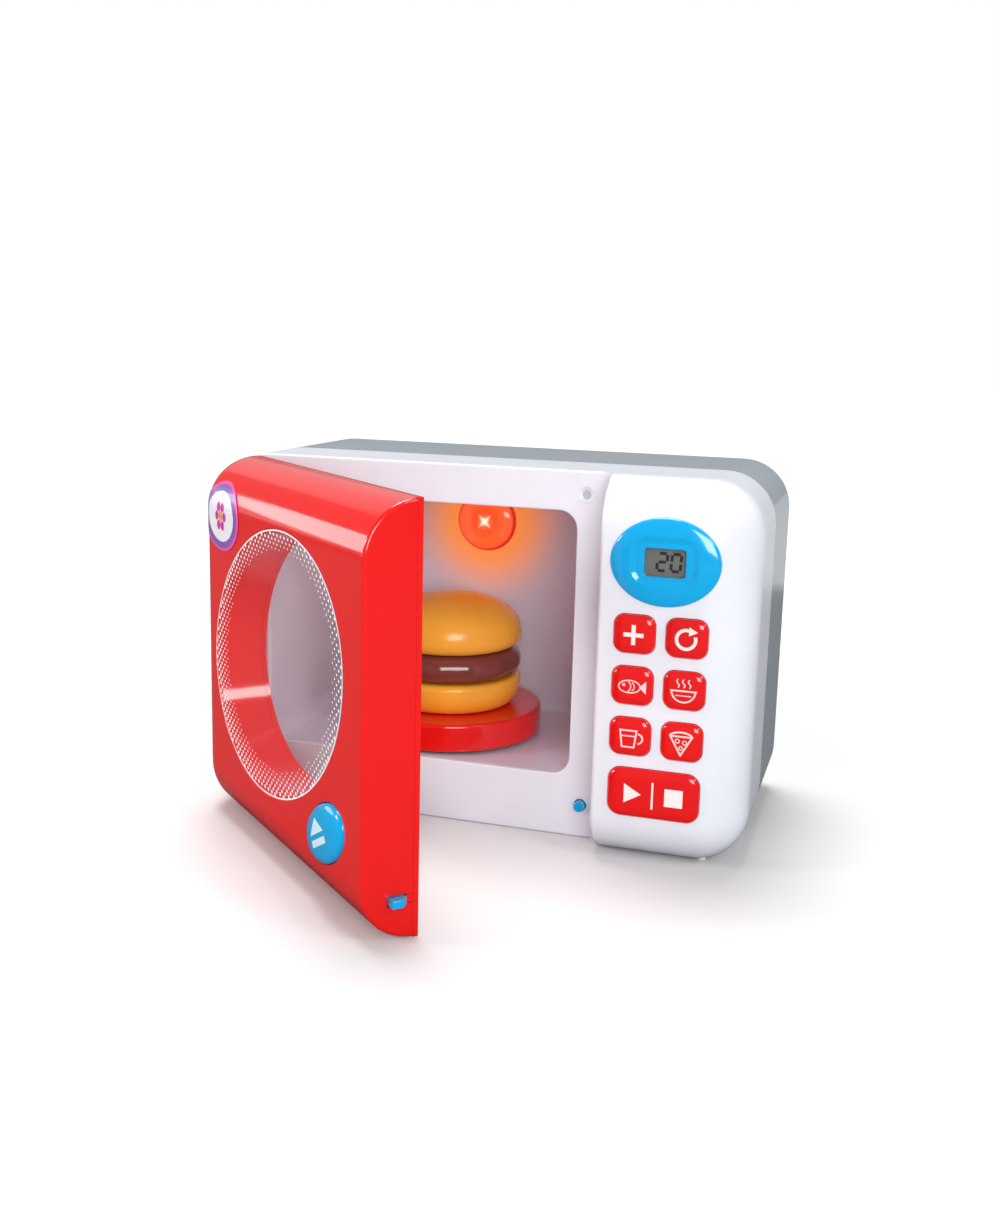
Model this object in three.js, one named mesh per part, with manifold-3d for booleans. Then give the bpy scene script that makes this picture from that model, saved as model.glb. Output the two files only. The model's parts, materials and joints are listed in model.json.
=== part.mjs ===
// Toy microwave oven with an open door, a turntable and a toy burger.
// Millimetres. X runs to the right seen from the front, -Y faces the viewer, Z is up.
// The origin is on the flat underside, midway across and halfway through the closed depth.
import * as THREE from 'three';
import { mergeVertices } from 'three/addons/utils/BufferGeometryUtils.js';
import Module from 'manifold-3d';

const wasm = await Module();
wasm.setup();

// Driving dimensions of the housing
const WIDTH = 274;
const HEIGHT = 180;
const DOOR_DEPTH = 26;
const FRONT_SHELL_DEPTH = 40;
const REAR_SHELL_DEPTH = 77;
const CORNER_RADIUS = 25;
const ROLL = { size: 24, depth: 25 };
const BACK_EDGE = { size: 9, depth: 9 };
const WALL = 2.4;
const GAP = 0.3;
const OVERRUN = 2;

// Planes from front to back
const FRONT_Y = -(DOOR_DEPTH + FRONT_SHELL_DEPTH + REAR_SHELL_DEPTH) / 2;
const RECESS_Y = FRONT_Y + DOOR_DEPTH;
const SEAM_Y = RECESS_Y + FRONT_SHELL_DEPTH;
const BACK_Y = SEAM_Y + REAR_SHELL_DEPTH;

// Places measured from the outside, the control panel's left wall and the door's free edge
const FROM_RIGHT = { panel: 71, keys: 41.5, post: 12.5, foot: 20.5, battery: 45, speaker: 43 };
const FROM_LEFT = { hinge: 10, cavity: 25, sticker: 38.5 };
const FROM_TOP = { display: 36.1, cavity: 19.3, doorSwitch: 11.3, sticker: 27.1, board: 14, speaker: 52 };
const FROM_PANEL = { door: 5, cavity: 17.3, peg: 10.8, doorSwitch: 13.3 };
const WINDOW_MARGIN = { left: 28, right: 18.2, bottom: 31.8, top: 23 };
const SIDE_X = WIDTH / 2;

// Control panel and its recess for the door
const PANEL = { left: SIDE_X - FROM_RIGHT.panel, cove: 5, centre: SIDE_X - FROM_RIGHT.keys };
const KEY = { width: 19.2, height: 18.1, radius: 5, rise: 2.4, travel: 1.2, flange: 1.1, rim: 1.1 };
const KEY_EDGE = { size: 2.6, depth: 1.7 };
const KEYS = { pitchX: 23.8, pitchZ: 24, lowZ: 62.4, columns: 2, top: 3.5 };
const START_KEY = { width: 42.6, height: 23.3, z: 35.9, radius: 6 };
const BEZEL = { rx: 25, rz: 20.1, z: HEIGHT - FROM_TOP.display, rise: 3, lip: 1.4, body: 4, aside: 0.6 };
const BEZEL_X = PANEL.centre + BEZEL.aside;
const BEZEL_EDGE = { size: 7, depth: 2.4 };
const KEY_ROOM = BEZEL.z - BEZEL.rz - KEYS.top - (KEYS.lowZ - KEY.height / 2);
const KEY_ROWS = Math.floor((KEY_ROOM + KEYS.pitchZ - KEY.height) / KEYS.pitchZ);
const DISPLAY = { width: 18.7, height: 12.8, dishWidth: 32.4, dishHeight: 22.4, dishRadius: 6, dish: 1.5 };
const LENS = { margin: 1.6, thickness: 2.2 };
const LCD = { margin: 3.6, thickness: 3.4 };
const MAT = { thickness: 1.6, padRise: 0.7, padMargin: 4 };
const BOARD = { thickness: 1.6, width: 48, bottom: 13, top: HEIGHT - FROM_TOP.board, postRadius: 3 };
const FOOT = { x: SIDE_X - FROM_RIGHT.foot, behind: 20.5, radius: 2.2, height: 3.2 };

// Oven cavity
const CAVITY = {
  left: FROM_LEFT.cavity - SIDE_X,
  right: PANEL.left - FROM_PANEL.cavity,
  bottom: 31,
  top: HEIGHT - FROM_TOP.cavity,
  radius: 9,
  depth: 105.5,
  wall: 1.6,
};
const CAVITY_X = (CAVITY.left + CAVITY.right) / 2;
const CAVITY_BACK_Y = RECESS_Y + CAVITY.depth;
const TABLE_Y = (RECESS_Y + CAVITY_BACK_Y) / 2;
const LAMP = { radius: 17, below: 22.9, aside: 2.1, rise: 5, flange: 3, flangeThickness: 1.2 };
const LAMP_DISC = { radius: 12, thickness: 1.6 };
const LAMP_Z = CAVITY.top - LAMP.below;
const LAMP_X = CAVITY_X + LAMP.aside;

// Door, its hinge and its window
const OPEN_ANGLE = THREE.MathUtils.degToRad(41.8);
const DOOR = { right: PANEL.left - FROM_PANEL.door, gap: 0.4, plate: 2.2 };
const DOOR_BACK_Y = RECESS_Y - DOOR.gap;
const HINGE = { pinRadius: 1.6, lugHalf: 4.5, lugHeight: 9, knuckle: 9, fromEnds: 42, tilt: 2.2 };
const HINGE_X = FROM_LEFT.hinge - SIDE_X;
const HINGE_Y = RECESS_Y - DOOR.gap - FROM_LEFT.hinge;
const WINDOW = {
  left: WINDOW_MARGIN.left - SIDE_X,
  right: DOOR.right - WINDOW_MARGIN.right,
  bottom: WINDOW_MARGIN.bottom,
  top: HEIGHT - WINDOW_MARGIN.top,
  tilt: THREE.MathUtils.degToRad(21),
  seat: 1.3,
  ledge: 1.6,
  film: 0.8,
  land: 5,
};
const STICKER = { rx: 24, rz: 16.7, thickness: 0.3, lift: 0.3 };
const BUTTON_MARGIN = 34.6;
const BUTTON = {
  x: DOOR.right - BUTTON_MARGIN,
  z: 36.5,
  rx: 19.6,
  rz: 12.4,
  tilt: THREE.MathUtils.degToRad(29),
  rise: 3.4,
  flange: 1.2,
  rim: 1.1,
};
const BUTTON_EDGE = { size: 5, depth: 2.9 };
const BUTTON_TRAVEL = 3.5;
const STEM = { radius: 3.2, length: 11 };
const ARM = { width: 9, sink: 0.2, depth: 3.9, bottom: 17.5 };
const LATCH = { inFront: 10.2, width: 7.8, z: 17.3, height: 3.8, reach: 4.2, tail: 14.4, slack: 0.4 };
const KEEPER = { reach: 2.2, depth: 2.4, margin: 1.6 };
const LATCH_STOP = { behind: 12, thickness: 2, height: 14 };
const LATCH_Y = RECESS_Y - LATCH.inFront;
const LATCH_BACK_X = BUTTON.x - LATCH.tail;
const LATCH_STOP_X = LATCH_BACK_X - LATCH_STOP.behind;

// Small pieces on the recessed face
const PEG = { z: 16.5, radius: 2.6, rise: 3.6, travel: 3, flange: 1.3, flangeThickness: 1.5, guide: 5.5 };
const PEG_X = PANEL.left - FROM_PANEL.peg;
const PEG_TUBE = { wall: 1.6, length: 19, cap: 2 };
const SWITCH = { bore: 2.2, dish: 3.7, dishDepth: 1, pin: 1.8, width: 13, height: 10, depth: 7 };
const SWITCH_X = PANEL.left - FROM_PANEL.doorSwitch;
const SWITCH_Z = HEIGHT - FROM_TOP.doorSwitch;

// Turntable drive under the floor
const TABLE = { radius: 49.4, lift: 2, thickness: 14.2, edge: 2, skin: 2.4, boss: 8, bossClear: 0.5 };
const SPINDLE = { radius: 3, head: 4.2, headHeight: 5.2, flange: 6, flangeThickness: 1, foot: 5.3 };
const GEAR = { module: 1.5, teeth: 40, pinionTeeth: 12, bottom: 17.5, thickness: 5, clearance: 0.25 };
const MOTOR = { length: 28, width: 24, bottom: WALL + GAP, top: 15.6, shaft: 1.5 };
const MOTOR_CAN = { radius: 6, length: 22 };
const CUP = { radius: 6.5, height: 9 };

// Burger
const BURGER = { radius: 38, patty: 38.5, base: 30, edge: 3, round: 6.3, seat: GAP };
const LAYERS = { bottom: 16.3, patty: 14.5, top: 26.6 };

// Power
const CELL = { radius: 7.1, length: 48, nub: 1.6, nubRadius: 2.7, pitch: 16, count: 3 };
const BATTERY_BOX = { behindSeam: 10.5, wall: 1.8 };
const BAY_X = SIDE_X - FROM_RIGHT.battery;
const BAY_FRONT_Y = SEAM_Y + BATTERY_BOX.behindSeam;
const CONTACT = { thickness: 0.6, bump: 1.2, bumpRadius: 2.4, height: 9 };
const HATCH = { thickness: 2.4, ledge: 2, tab: 8 };
const HATCH_SCREW = { radius: 1.2, headRadius: 2.4, headHeight: 1.2, length: 7.5 };
const HATCH_BOSS = { radius: 2.8, top: 9 };

// Fasteners and other inner pieces
const POST = { fromEnds: 15.5, radius: 4.6, overlap: 14.5, bore: 1.5, depth: 13 };
const POST_X = SIDE_X - FROM_RIGHT.post;
const POST_END_Y = SEAM_Y + POST.overlap;
const SCREW = { radius: 1.2, headRadius: 3.1, headHeight: 2.2, length: 14, tube: 5.6, access: 3.8 };
const SPEAKER = { radius: 14, depth: 6, holeRadius: 1.6, holes: 6, ring: 7.5, magnet: 7 };
const SPEAKER_X = SIDE_X - FROM_RIGHT.speaker;
const SPEAKER_Z = HEIGHT - FROM_TOP.speaker;
const SPRING = { wire: 0.45, sides: 5, steps: 8 };

// Fineness of round shapes
const ARC_STEPS = 3;
const KEY_STEPS = 2;
const ROLL_STEPS = 5;
const SMALL_STEPS = 5;
const ROUND_STEPS = 12;

// Materials
const plastic = (color, roughness, extra = {}) =>
  new THREE.MeshStandardMaterial({ color, roughness, metalness: 0, ...extra });
const metal = (color, roughness) => new THREE.MeshStandardMaterial({ color, roughness, metalness: 1 });
const WHITE = plastic(0xeeeef4, 0.35);
const SILVER = plastic(0xb4c0cb, 0.3);
const RED = plastic(0xee2624, 0.18);
const BLUE = plastic(0x00a5e6, 0.2);
const LINER = plastic(0xd8d4e2, 0.4);
const CLEAR = plastic(0xffffff, 0.05, { transparent: true, opacity: 0.25 });
const LAMP_RED = plastic(0xff3a1c, 0.15, { transparent: true, opacity: 0.8 });
const STICKER_PINK = plastic(0xe05aa8, 0.4);
const LCD_GREY = plastic(0x7d7d73, 0.3);
const RUBBER = plastic(0x4a4a4e, 0.8);
const BOARD_GREEN = plastic(0x2f7a45, 0.5);
const BLACK = plastic(0x1f1f22, 0.5);
const GEAR_WHITE = plastic(0xe8e2d0, 0.5);
const BUN = plastic(0xf3a032, 0.35);
const PATTY = plastic(0x5a2a24, 0.25);
const CELL_JACKET = plastic(0x3a6ea8, 0.4);
const STEEL = metal(0xb9bcc2, 0.35);

const model = new THREE.Group();
const doorLeaf = new THREE.Group();
doorLeaf.position.set(HINGE_X, HINGE_Y, 0);
doorLeaf.rotation.z = -OPEN_ANGLE;
model.add(doorLeaf);

// Geometry to solid and back
function toSolid(geometry) {
  geometry.deleteAttribute('normal');
  geometry.deleteAttribute('uv');
  const merged = mergeVertices(geometry);
  return new wasm.Manifold(
    new wasm.Mesh({
      numProp: 3,
      vertProperties: new Float32Array(merged.attributes.position.array),
      triVerts: new Uint32Array(merged.index.array),
    }),
  );
}

function toGeometry(solid) {
  const mesh = solid.getMesh();
  const geometry = new THREE.BufferGeometry();
  geometry.setAttribute('position', new THREE.BufferAttribute(mesh.vertProperties, mesh.numProp));
  geometry.setIndex(new THREE.BufferAttribute(mesh.triVerts, 1));
  geometry.computeVertexNormals();
  return geometry;
}

function addPiece(name, solid, material, parent = model) {
  const mesh = new THREE.Mesh(toGeometry(solid), material);
  mesh.name = name;
  if (parent === doorLeaf) mesh.position.set(-HINGE_X, -HINGE_Y, 0);
  parent.add(mesh);
  return mesh;
}

const union = (solids) => solids.reduce((sum, next) => sum.add(next));

// Directions in which an outline is extruded: its own x and y become the other two axes
const TURN = {
  x: new THREE.Matrix4().makeBasis(
    new THREE.Vector3(0, 1, 0), new THREE.Vector3(0, 0, 1), new THREE.Vector3(1, 0, 0)),
  front: new THREE.Matrix4().makeBasis(
    new THREE.Vector3(1, 0, 0), new THREE.Vector3(0, 0, 1), new THREE.Vector3(0, -1, 0)),
  back: new THREE.Matrix4().makeBasis(
    new THREE.Vector3(-1, 0, 0), new THREE.Vector3(0, 0, 1), new THREE.Vector3(0, 1, 0)),
};

function prism(shape, from, to, axis, curveSegments = ARC_STEPS) {
  const options = { depth: to - from, bevelEnabled: false, curveSegments };
  const geometry = new THREE.ExtrudeGeometry(shape, options);
  if (axis === 'x') geometry.applyMatrix4(TURN.x).translate(from, 0, 0);
  if (axis === 'y') geometry.applyMatrix4(TURN.front).translate(0, to, 0);
  if (axis === 'z') geometry.translate(0, 0, from);
  return toSolid(geometry);
}

function box(x0, x1, y0, y1, z0, z1) {
  const geometry = new THREE.BoxGeometry(x1 - x0, y1 - y0, z1 - z0);
  return toSolid(geometry.translate((x0 + x1) / 2, (y0 + y1) / 2, (z0 + z1) / 2));
}

// A round rod along an axis through the point given by its two other coordinates
function rod(axis, radius, from, to, a, b, steps = SMALL_STEPS) {
  const shape = new THREE.Shape().absarc(a, b, radius, 0, 2 * Math.PI);
  return prism(shape, from, to, axis, steps);
}

function ellipse(x, z, rx, rz, tilt = 0) {
  return new THREE.Shape().absellipse(x, z, rx, rz, 0, 2 * Math.PI, false, tilt);
}

const buttonOutline = (grow) => ellipse(BUTTON.x, BUTTON.z, BUTTON.rx + grow, BUTTON.rz + grow, BUTTON.tilt);

// The tilted ellipse that fills the window's width and height
function windowOutline(grow) {
  const { left, right, bottom, top, tilt } = WINDOW;
  const halfWidth = (right - left) / 2;
  const halfHeight = (top - bottom) / 2;
  const cosine = Math.cos(tilt) ** 2;
  const sine = Math.sin(tilt) ** 2;
  const rx = Math.sqrt((halfWidth ** 2 * cosine - halfHeight ** 2 * sine) / (cosine - sine));
  const rz = Math.sqrt((halfHeight ** 2 * cosine - halfWidth ** 2 * sine) / (cosine - sine));
  return ellipse((left + right) / 2, (bottom + top) / 2, rx + grow, rz + grow, tilt);
}

function roundedRect(x0, x1, z0, z1, radius) {
  const shape = new THREE.Shape();
  shape.absarc(x1 - radius, z0 + radius, radius, -Math.PI / 2, 0);
  shape.absarc(x1 - radius, z1 - radius, radius, 0, Math.PI / 2);
  shape.absarc(x0 + radius, z1 - radius, radius, Math.PI / 2, Math.PI);
  shape.absarc(x0 + radius, z0 + radius, radius, Math.PI, 1.5 * Math.PI);
  shape.closePath();
  return shape;
}

const centredRect = (x, z, width, height, radius) =>
  roundedRect(x - width / 2, x + width / 2, z - height / 2, z + height / 2, radius);

const slab = (y0, y1) => box(-WIDTH, WIDTH, y0, y1, -HEIGHT, 2 * HEIGHT);

// A block whose face at faceY rolls over all round into its sides, down to endY
function rolled(flat, edge, faceY, endY, curveSegments = ARC_STEPS, steps = ROLL_STEPS) {
  const length = Math.abs(endY - faceY);
  const geometry = new THREE.ExtrudeGeometry(flat, {
    depth: length,
    bevelThickness: edge.depth,
    bevelSize: edge.size,
    bevelSegments: steps,
    curveSegments,
  });
  const inward = Math.sign(endY - faceY);
  geometry.applyMatrix4(inward > 0 ? TURN.front : TURN.back);
  geometry.translate(0, faceY + inward * (length + edge.depth), 0);
  return toSolid(geometry).intersect(slab(Math.min(faceY, endY), Math.max(faceY, endY)));
}

// The housing's block seen from one end; inset gives the inside of a wall of that thickness
function housingBlock(edge, inset, faceY, endY) {
  const flat = roundedRect(
    -WIDTH / 2 + edge.size, WIDTH / 2 - edge.size, edge.size, HEIGHT - edge.size, CORNER_RADIUS - edge.size);
  const inner = { size: edge.size - inset, depth: edge.depth - inset };
  return rolled(flat, inner, faceY + inset * Math.sign(endY - faceY), endY);
}

function lathe(points, x, y) {
  const geometry = new THREE.LatheGeometry(points, 2 * ROUND_STEPS);
  return toSolid(geometry.rotateX(Math.PI / 2).translate(x, y, 0));
}

// Points of a quarter turn on a lathe profile, from one angle to another about a centre
function bend(radius, height, rr, rh, start, end, steps = ARC_STEPS) {
  return Array.from({ length: steps + 1 }, (_, i) => {
    const angle = start + ((end - start) * i) / steps;
    return new THREE.Vector2(radius + rr * Math.cos(angle), height + rh * Math.sin(angle));
  });
}

// A compression spring along an axis, flat on neither end, of one unbroken wire
function spring(axis, radius, from, to, a, b, turns) {
  const points = [];
  const count = turns * SPRING.steps;
  const low = from + SPRING.wire;
  const high = to - SPRING.wire;
  for (let i = 0; i <= count; i += 1) {
    const angle = (2 * Math.PI * i) / SPRING.steps;
    const along = low + ((high - low) * i) / count;
    const u = a + radius * Math.cos(angle);
    const v = b + radius * Math.sin(angle);
    points.push(axis === 'x' ? new THREE.Vector3(along, u, v) : new THREE.Vector3(u, along, v));
  }
  const section = new THREE.Shape(
    Array.from({ length: SPRING.sides }, (_, i) => {
      const angle = (2 * Math.PI * i) / SPRING.sides;
      return new THREE.Vector2(SPRING.wire * Math.cos(angle), SPRING.wire * Math.sin(angle));
    }),
  );
  const path = new THREE.CatmullRomCurve3(points);
  const options = { steps: count, bevelEnabled: false, extrudePath: path };
  return toSolid(new THREE.ExtrudeGeometry(section, options));
}

// Plan outline of the space that the door fills in front of the recessed face, grown by a margin
function doorSpace(margin) {
  const radius = PANEL.cove + margin;
  const right = PANEL.left + margin;
  const back = RECESS_Y + margin;
  const shape = new THREE.Shape();
  shape.moveTo(-WIDTH, FRONT_Y - OVERRUN);
  shape.lineTo(right, FRONT_Y - OVERRUN);
  shape.absarc(right - radius, back - radius, radius, 0, Math.PI / 2);
  shape.lineTo(-WIDTH, back);
  shape.closePath();
  return prism(shape, -OVERRUN, HEIGHT + OVERRUN, 'z');
}

// The window's block between two depths, with a land left round the button
function windowBlock(grow, from, to) {
  return prism(windowOutline(grow), from, to, 'y', ROUND_STEPS)
    .subtract(prism(buttonOutline(WINDOW.land - grow), from - OVERRUN, to + OVERRUN, 'y', ROUND_STEPS));
}

// Places of the four long posts that join the two shells
const postHeights = [POST.fromEnds, HEIGHT - POST.fromEnds];
const posts = [-POST_X, POST_X].flatMap((x) => postHeights.map((z) => ({ x, z })));

// Keys: six square ones in rows from the bottom, and the wide one below them
const keyPlaces = [];
for (let row = 0; row < KEY_ROWS; row += 1) {
  for (let column = 0; column < KEYS.columns; column += 1) {
    const x = PANEL.centre + (column - (KEYS.columns - 1) / 2) * KEYS.pitchX;
    const z = KEYS.lowZ + row * KEYS.pitchZ;
    keyPlaces.push({ x, z, width: KEY.width, height: KEY.height, radius: KEY.radius });
  }
}
keyPlaces.push({ x: PANEL.centre, z: START_KEY.z, ...START_KEY });

// Hinge heights and the plan of one lug
const lugs = [HINGE.fromEnds, HEIGHT - HINGE.fromEnds].map((z) => ({
  from: z - HINGE.lugHeight / 2,
  to: z + HINGE.lugHeight / 2,
}));

function hingeLug({ from, to }) {
  const arm = box(HINGE_X - HINGE.lugHalf, HINGE_X + HINGE.lugHalf, HINGE_Y, RECESS_Y + WALL / 2, from, to);
  const eye = rod('z', HINGE.lugHalf, from, to, HINGE_X, HINGE_Y);
  return arm.add(eye);
}

const pinBore = (from, to) => rod('z', HINGE.pinRadius + GAP, from, to, HINGE_X, HINGE_Y);

// Board, mat and display planes behind the panel
const PANEL_BACK_Y = FRONT_Y + WALL;
const KEY_BACK_Y = PANEL_BACK_Y + GAP + KEY.flange;
const MAT_Y = KEY_BACK_Y + KEY.travel + GAP + MAT.padRise;
const BEZEL_BACK_Y = FRONT_Y + BEZEL.body;
const LCD_Y = BEZEL_BACK_Y + GAP;
const BOARD_Y = Math.max(MAT_Y + MAT.thickness, LCD_Y + LCD.thickness) + GAP;
const boardPosts = [-1, 1].flatMap((side) => [
  { x: PANEL.centre + side * (BOARD.width / 2 - BOARD.postRadius), z: BOARD.bottom + BOARD.postRadius },
  { x: PANEL.centre + side * (BOARD.width / 2 - BOARD.postRadius), z: BOARD.top - BOARD.postRadius },
]);

// White front shell with the control panel
function frontShell() {
  const outer = housingBlock(ROLL, 0, FRONT_Y, SEAM_Y).subtract(doorSpace(0));
  const inner = housingBlock(ROLL, WALL, FRONT_Y, SEAM_Y + OVERRUN).subtract(doorSpace(WALL));
  let shell = outer.subtract(inner);
  for (const { x, z } of posts) {
    const post = rod('y', POST.radius, FRONT_Y, SEAM_Y, x, z).intersect(outer);
    const tail = rod('y', POST.radius, SEAM_Y - GAP, POST_END_Y, x, z);
    const bore = rod('y', POST.bore, POST_END_Y - POST.depth, POST_END_Y + OVERRUN, x, z);
    shell = shell.add(post).add(tail).subtract(bore);
  }
  for (const { x, z } of boardPosts) {
    shell = shell.add(rod('y', BOARD.postRadius, FRONT_Y, BOARD_Y - GAP, x, z).intersect(outer));
  }
  for (const lug of lugs) {
    shell = shell.add(hingeLug(lug)).subtract(pinBore(lug.from - OVERRUN, lug.to + OVERRUN));
  }
  shell = shell.add(rod('z', FOOT.radius, 0, FOOT.height, FOOT.x, FRONT_Y + FOOT.behind));
  shell = shell.add(keeper());
  shell = shell.add(rod('y', pegTubeBore + PEG_TUBE.wall, RECESS_Y + WALL / 2, RECESS_Y + PEG_TUBE.length,
    PEG_X, PEG.z));
  return shell.subtract(union(frontShellCuts()));
}

const pegTubeBore = PEG.radius + PEG.flange + GAP;

// Rib on the panel's left wall that the latch hooks behind
function keeper() {
  const back = LATCH_Y - LATCH.width / 2 - LATCH.slack;
  const half = LATCH.height / 2 + KEEPER.margin;
  return box(PANEL.left - KEEPER.reach, PANEL.left + WALL / 2, back - KEEPER.depth, back,
    LATCH.z - half, LATCH.z + half);
}

function frontShellCuts() {
  const wallFrom = RECESS_Y - OVERRUN;
  const wallTo = RECESS_Y + WALL + OVERRUN;
  const opening = roundedRect(CAVITY.left, CAVITY.right, CAVITY.bottom, CAVITY.top, CAVITY.radius);
  const cuts = [
    prism(opening, wallFrom, wallTo, 'y'),
    rod('y', PEG.radius + GAP, wallFrom, RECESS_Y + PEG.guide, PEG_X, PEG.z),
    rod('y', pegTubeBore, RECESS_Y + PEG.guide, RECESS_Y + PEG_TUBE.length + OVERRUN, PEG_X, PEG.z),
    rod('y', SWITCH.bore, wallFrom, wallTo, SWITCH_X, SWITCH_Z),
    rod('y', SWITCH.dish, wallFrom, RECESS_Y + SWITCH.dishDepth, SWITCH_X, SWITCH_Z),
    prism(ellipse(BEZEL_X, BEZEL.z, BEZEL.rx - BEZEL.lip, BEZEL.rz - BEZEL.lip),
      FRONT_Y - OVERRUN, PANEL_BACK_Y + OVERRUN, 'y', ROUND_STEPS),
  ];
  for (const key of keyPlaces) {
    const hole = centredRect(key.x, key.z, key.width + 2 * GAP, key.height + 2 * GAP, key.radius + GAP);
    cuts.push(prism(hole, FRONT_Y - OVERRUN, PANEL_BACK_Y + OVERRUN, 'y', KEY_STEPS));
  }
  return cuts;
}

// Silver rear shell with its screw tubes, spindle cup and battery opening
function rearShell() {
  const outer = housingBlock(BACK_EDGE, 0, BACK_Y, SEAM_Y + GAP);
  const inner = housingBlock(BACK_EDGE, WALL, BACK_Y, SEAM_Y - OVERRUN);
  let shell = outer.subtract(inner);
  for (const { x, z } of posts) {
    const tube = rod('y', SCREW.tube, POST_END_Y + GAP, BACK_Y, x, z).intersect(outer);
    const access = rod('y', SCREW.access, POST_END_Y + GAP + WALL, BACK_Y + OVERRUN, x, z);
    const hole = rod('y', POST.bore + GAP, POST_END_Y - OVERRUN, BACK_Y, x, z);
    shell = shell.add(tube).subtract(access).subtract(hole);
  }
  const cup = rod('z', CUP.radius, WALL / 2, CUP.height, CAVITY_X, TABLE_Y);
  const cupBore = rod('z', SPINDLE.radius + GAP, SPINDLE.foot - GAP, CUP.height + OVERRUN, CAVITY_X,
    TABLE_Y);
  const lampBossFrom = LAMP_BOARD_Y + LAMP_DISC.thickness + GAP;
  const lampBoss = rod('y', LAMP_DISC.radius / 2, lampBossFrom, BACK_Y - WALL / 2, LAMP_X, LAMP_Z);
  shell = shell.add(cup).subtract(cupBore).add(lampBoss);
  for (let i = 0; i <= SPEAKER.holes; i += 1) {
    const reach = i === 0 ? 0 : SPEAKER.ring;
    const angle = (2 * Math.PI * i) / SPEAKER.holes;
    const x = SPEAKER_X + reach * Math.cos(angle);
    const z = SPEAKER_Z + reach * Math.sin(angle);
    const hole = rod('y', SPEAKER.holeRadius, BACK_Y - WALL - OVERRUN, BACK_Y + OVERRUN, x, z, ARC_STEPS);
    shell = shell.subtract(hole);
  }
  return addBayRim(shell);
}

// Cavity liner: an open box of floor, walls and back
function cavityLiner() {
  const front = RECESS_Y + WALL + GAP;
  const wall = CAVITY.wall;
  const outline = (grow) => roundedRect(CAVITY.left - grow, CAVITY.right + grow, CAVITY.bottom - grow,
    CAVITY.top + grow, CAVITY.radius + grow);
  return prism(outline(wall), front, CAVITY_BACK_Y + wall, 'y')
    .subtract(prism(outline(0), front - OVERRUN, CAVITY_BACK_Y, 'y'))
    .subtract(rod('z', SPINDLE.radius + 2 * GAP, CAVITY.bottom - wall - OVERRUN, CAVITY.bottom + OVERRUN,
      CAVITY_X, TABLE_Y))
    .subtract(rod('y', LAMP.radius + GAP, CAVITY_BACK_Y - OVERRUN, CAVITY_BACK_Y + wall + OVERRUN, LAMP_X,
      LAMP_Z, ROUND_STEPS));
}

// Door, in its closed place; the leaf group swings it open
function hingeCorner(inset) {
  const corner = box(-WIDTH, HINGE_X, HINGE_Y, RECESS_Y + OVERRUN, -OVERRUN, HEIGHT + OVERRUN);
  const barrel = rod('z', FROM_LEFT.hinge - inset, -HEIGHT, 2 * HEIGHT, HINGE_X, HINGE_Y, ROUND_STEPS);
  return corner.subtract(barrel);
}

function doorBlock(inset, endY) {
  const right = DOOR.right - inset;
  return housingBlock(ROLL, inset, FRONT_Y, endY)
    .intersect(box(-WIDTH, right, FRONT_Y - OVERRUN, BACK_Y, -OVERRUN, HEIGHT + OVERRUN))
    .subtract(hingeCorner(inset));
}

const SHELL_END_Y = DOOR_BACK_Y - DOOR.plate - GAP;

function lugNotches() {
  const reach = HINGE.lugHalf + GAP;
  const front = HINGE_Y - reach - HINGE.tilt;
  const back = RECESS_Y + OVERRUN;
  return lugs.map(({ from, to }) => box(-WIDTH, HINGE_X + reach, front, back, from - GAP, to + GAP));
}

function doorShell() {
  const outer = doorBlock(0, SHELL_END_Y);
  let shell = outer.subtract(doorBlock(WALL, SHELL_END_Y + OVERRUN));
  shell = shell.add(windowBlock(WALL / 2, FRONT_Y, SHELL_END_Y).intersect(outer));
  for (const { from, to } of lugs) {
    const reach = HINGE.lugHalf + WALL;
    const block = box(-WIDTH, HINGE_X + reach, FRONT_Y, RECESS_Y, from - GAP - HINGE.knuckle,
      to + GAP + HINGE.knuckle);
    shell = shell.add(block.intersect(outer));
    shell = shell.subtract(pinBore(from - HINGE.knuckle, to + HINGE.knuckle));
  }
  const guideX = BUTTON.x + BUTTON.rx;
  const guide = box(guideX - WALL / 2, guideX + WALL / 2, FRONT_Y, SHELL_END_Y, 0, CAM_TOP);
  const stop = box(LATCH_STOP_X, LATCH_STOP_X + LATCH_STOP.thickness, FRONT_Y, SHELL_END_Y, 0,
    LATCH.z + LATCH_STOP.height / 2);
  shell = shell.add(guide.add(stop).intersect(outer));
  const cuts = [
    windowBlock(0, FRONT_Y - OVERRUN, FRONT_Y + WINDOW.seat),
    windowTunnel(),
    prism(buttonOutline(GAP), FRONT_Y - OVERRUN, PANEL_BACK_Y + OVERRUN, 'y', ROUND_STEPS),
    latchBlock(LATCH.slack, guideX - WALL, DOOR.right + OVERRUN),
    latchTongue(GAP, DOOR.right + OVERRUN, SHELL_END_Y + OVERRUN),
    ...lugNotches(),
  ];
  return shell.subtract(union(cuts));
}

// Tongue of the door back that fills the slot behind the latch, grown by a slack
function latchTongue(slack, right, backY) {
  const front = LATCH_Y + LATCH.width / 2 + LATCH.slack - slack;
  const half = LATCH.height / 2 + slack;
  return box(DOOR.right - WALL - slack, right, front, backY, LATCH.z - half, LATCH.z + half);
}

const windowTunnel = () => windowBlock(-WINDOW.ledge, FRONT_Y, RECESS_Y + OVERRUN);

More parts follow.
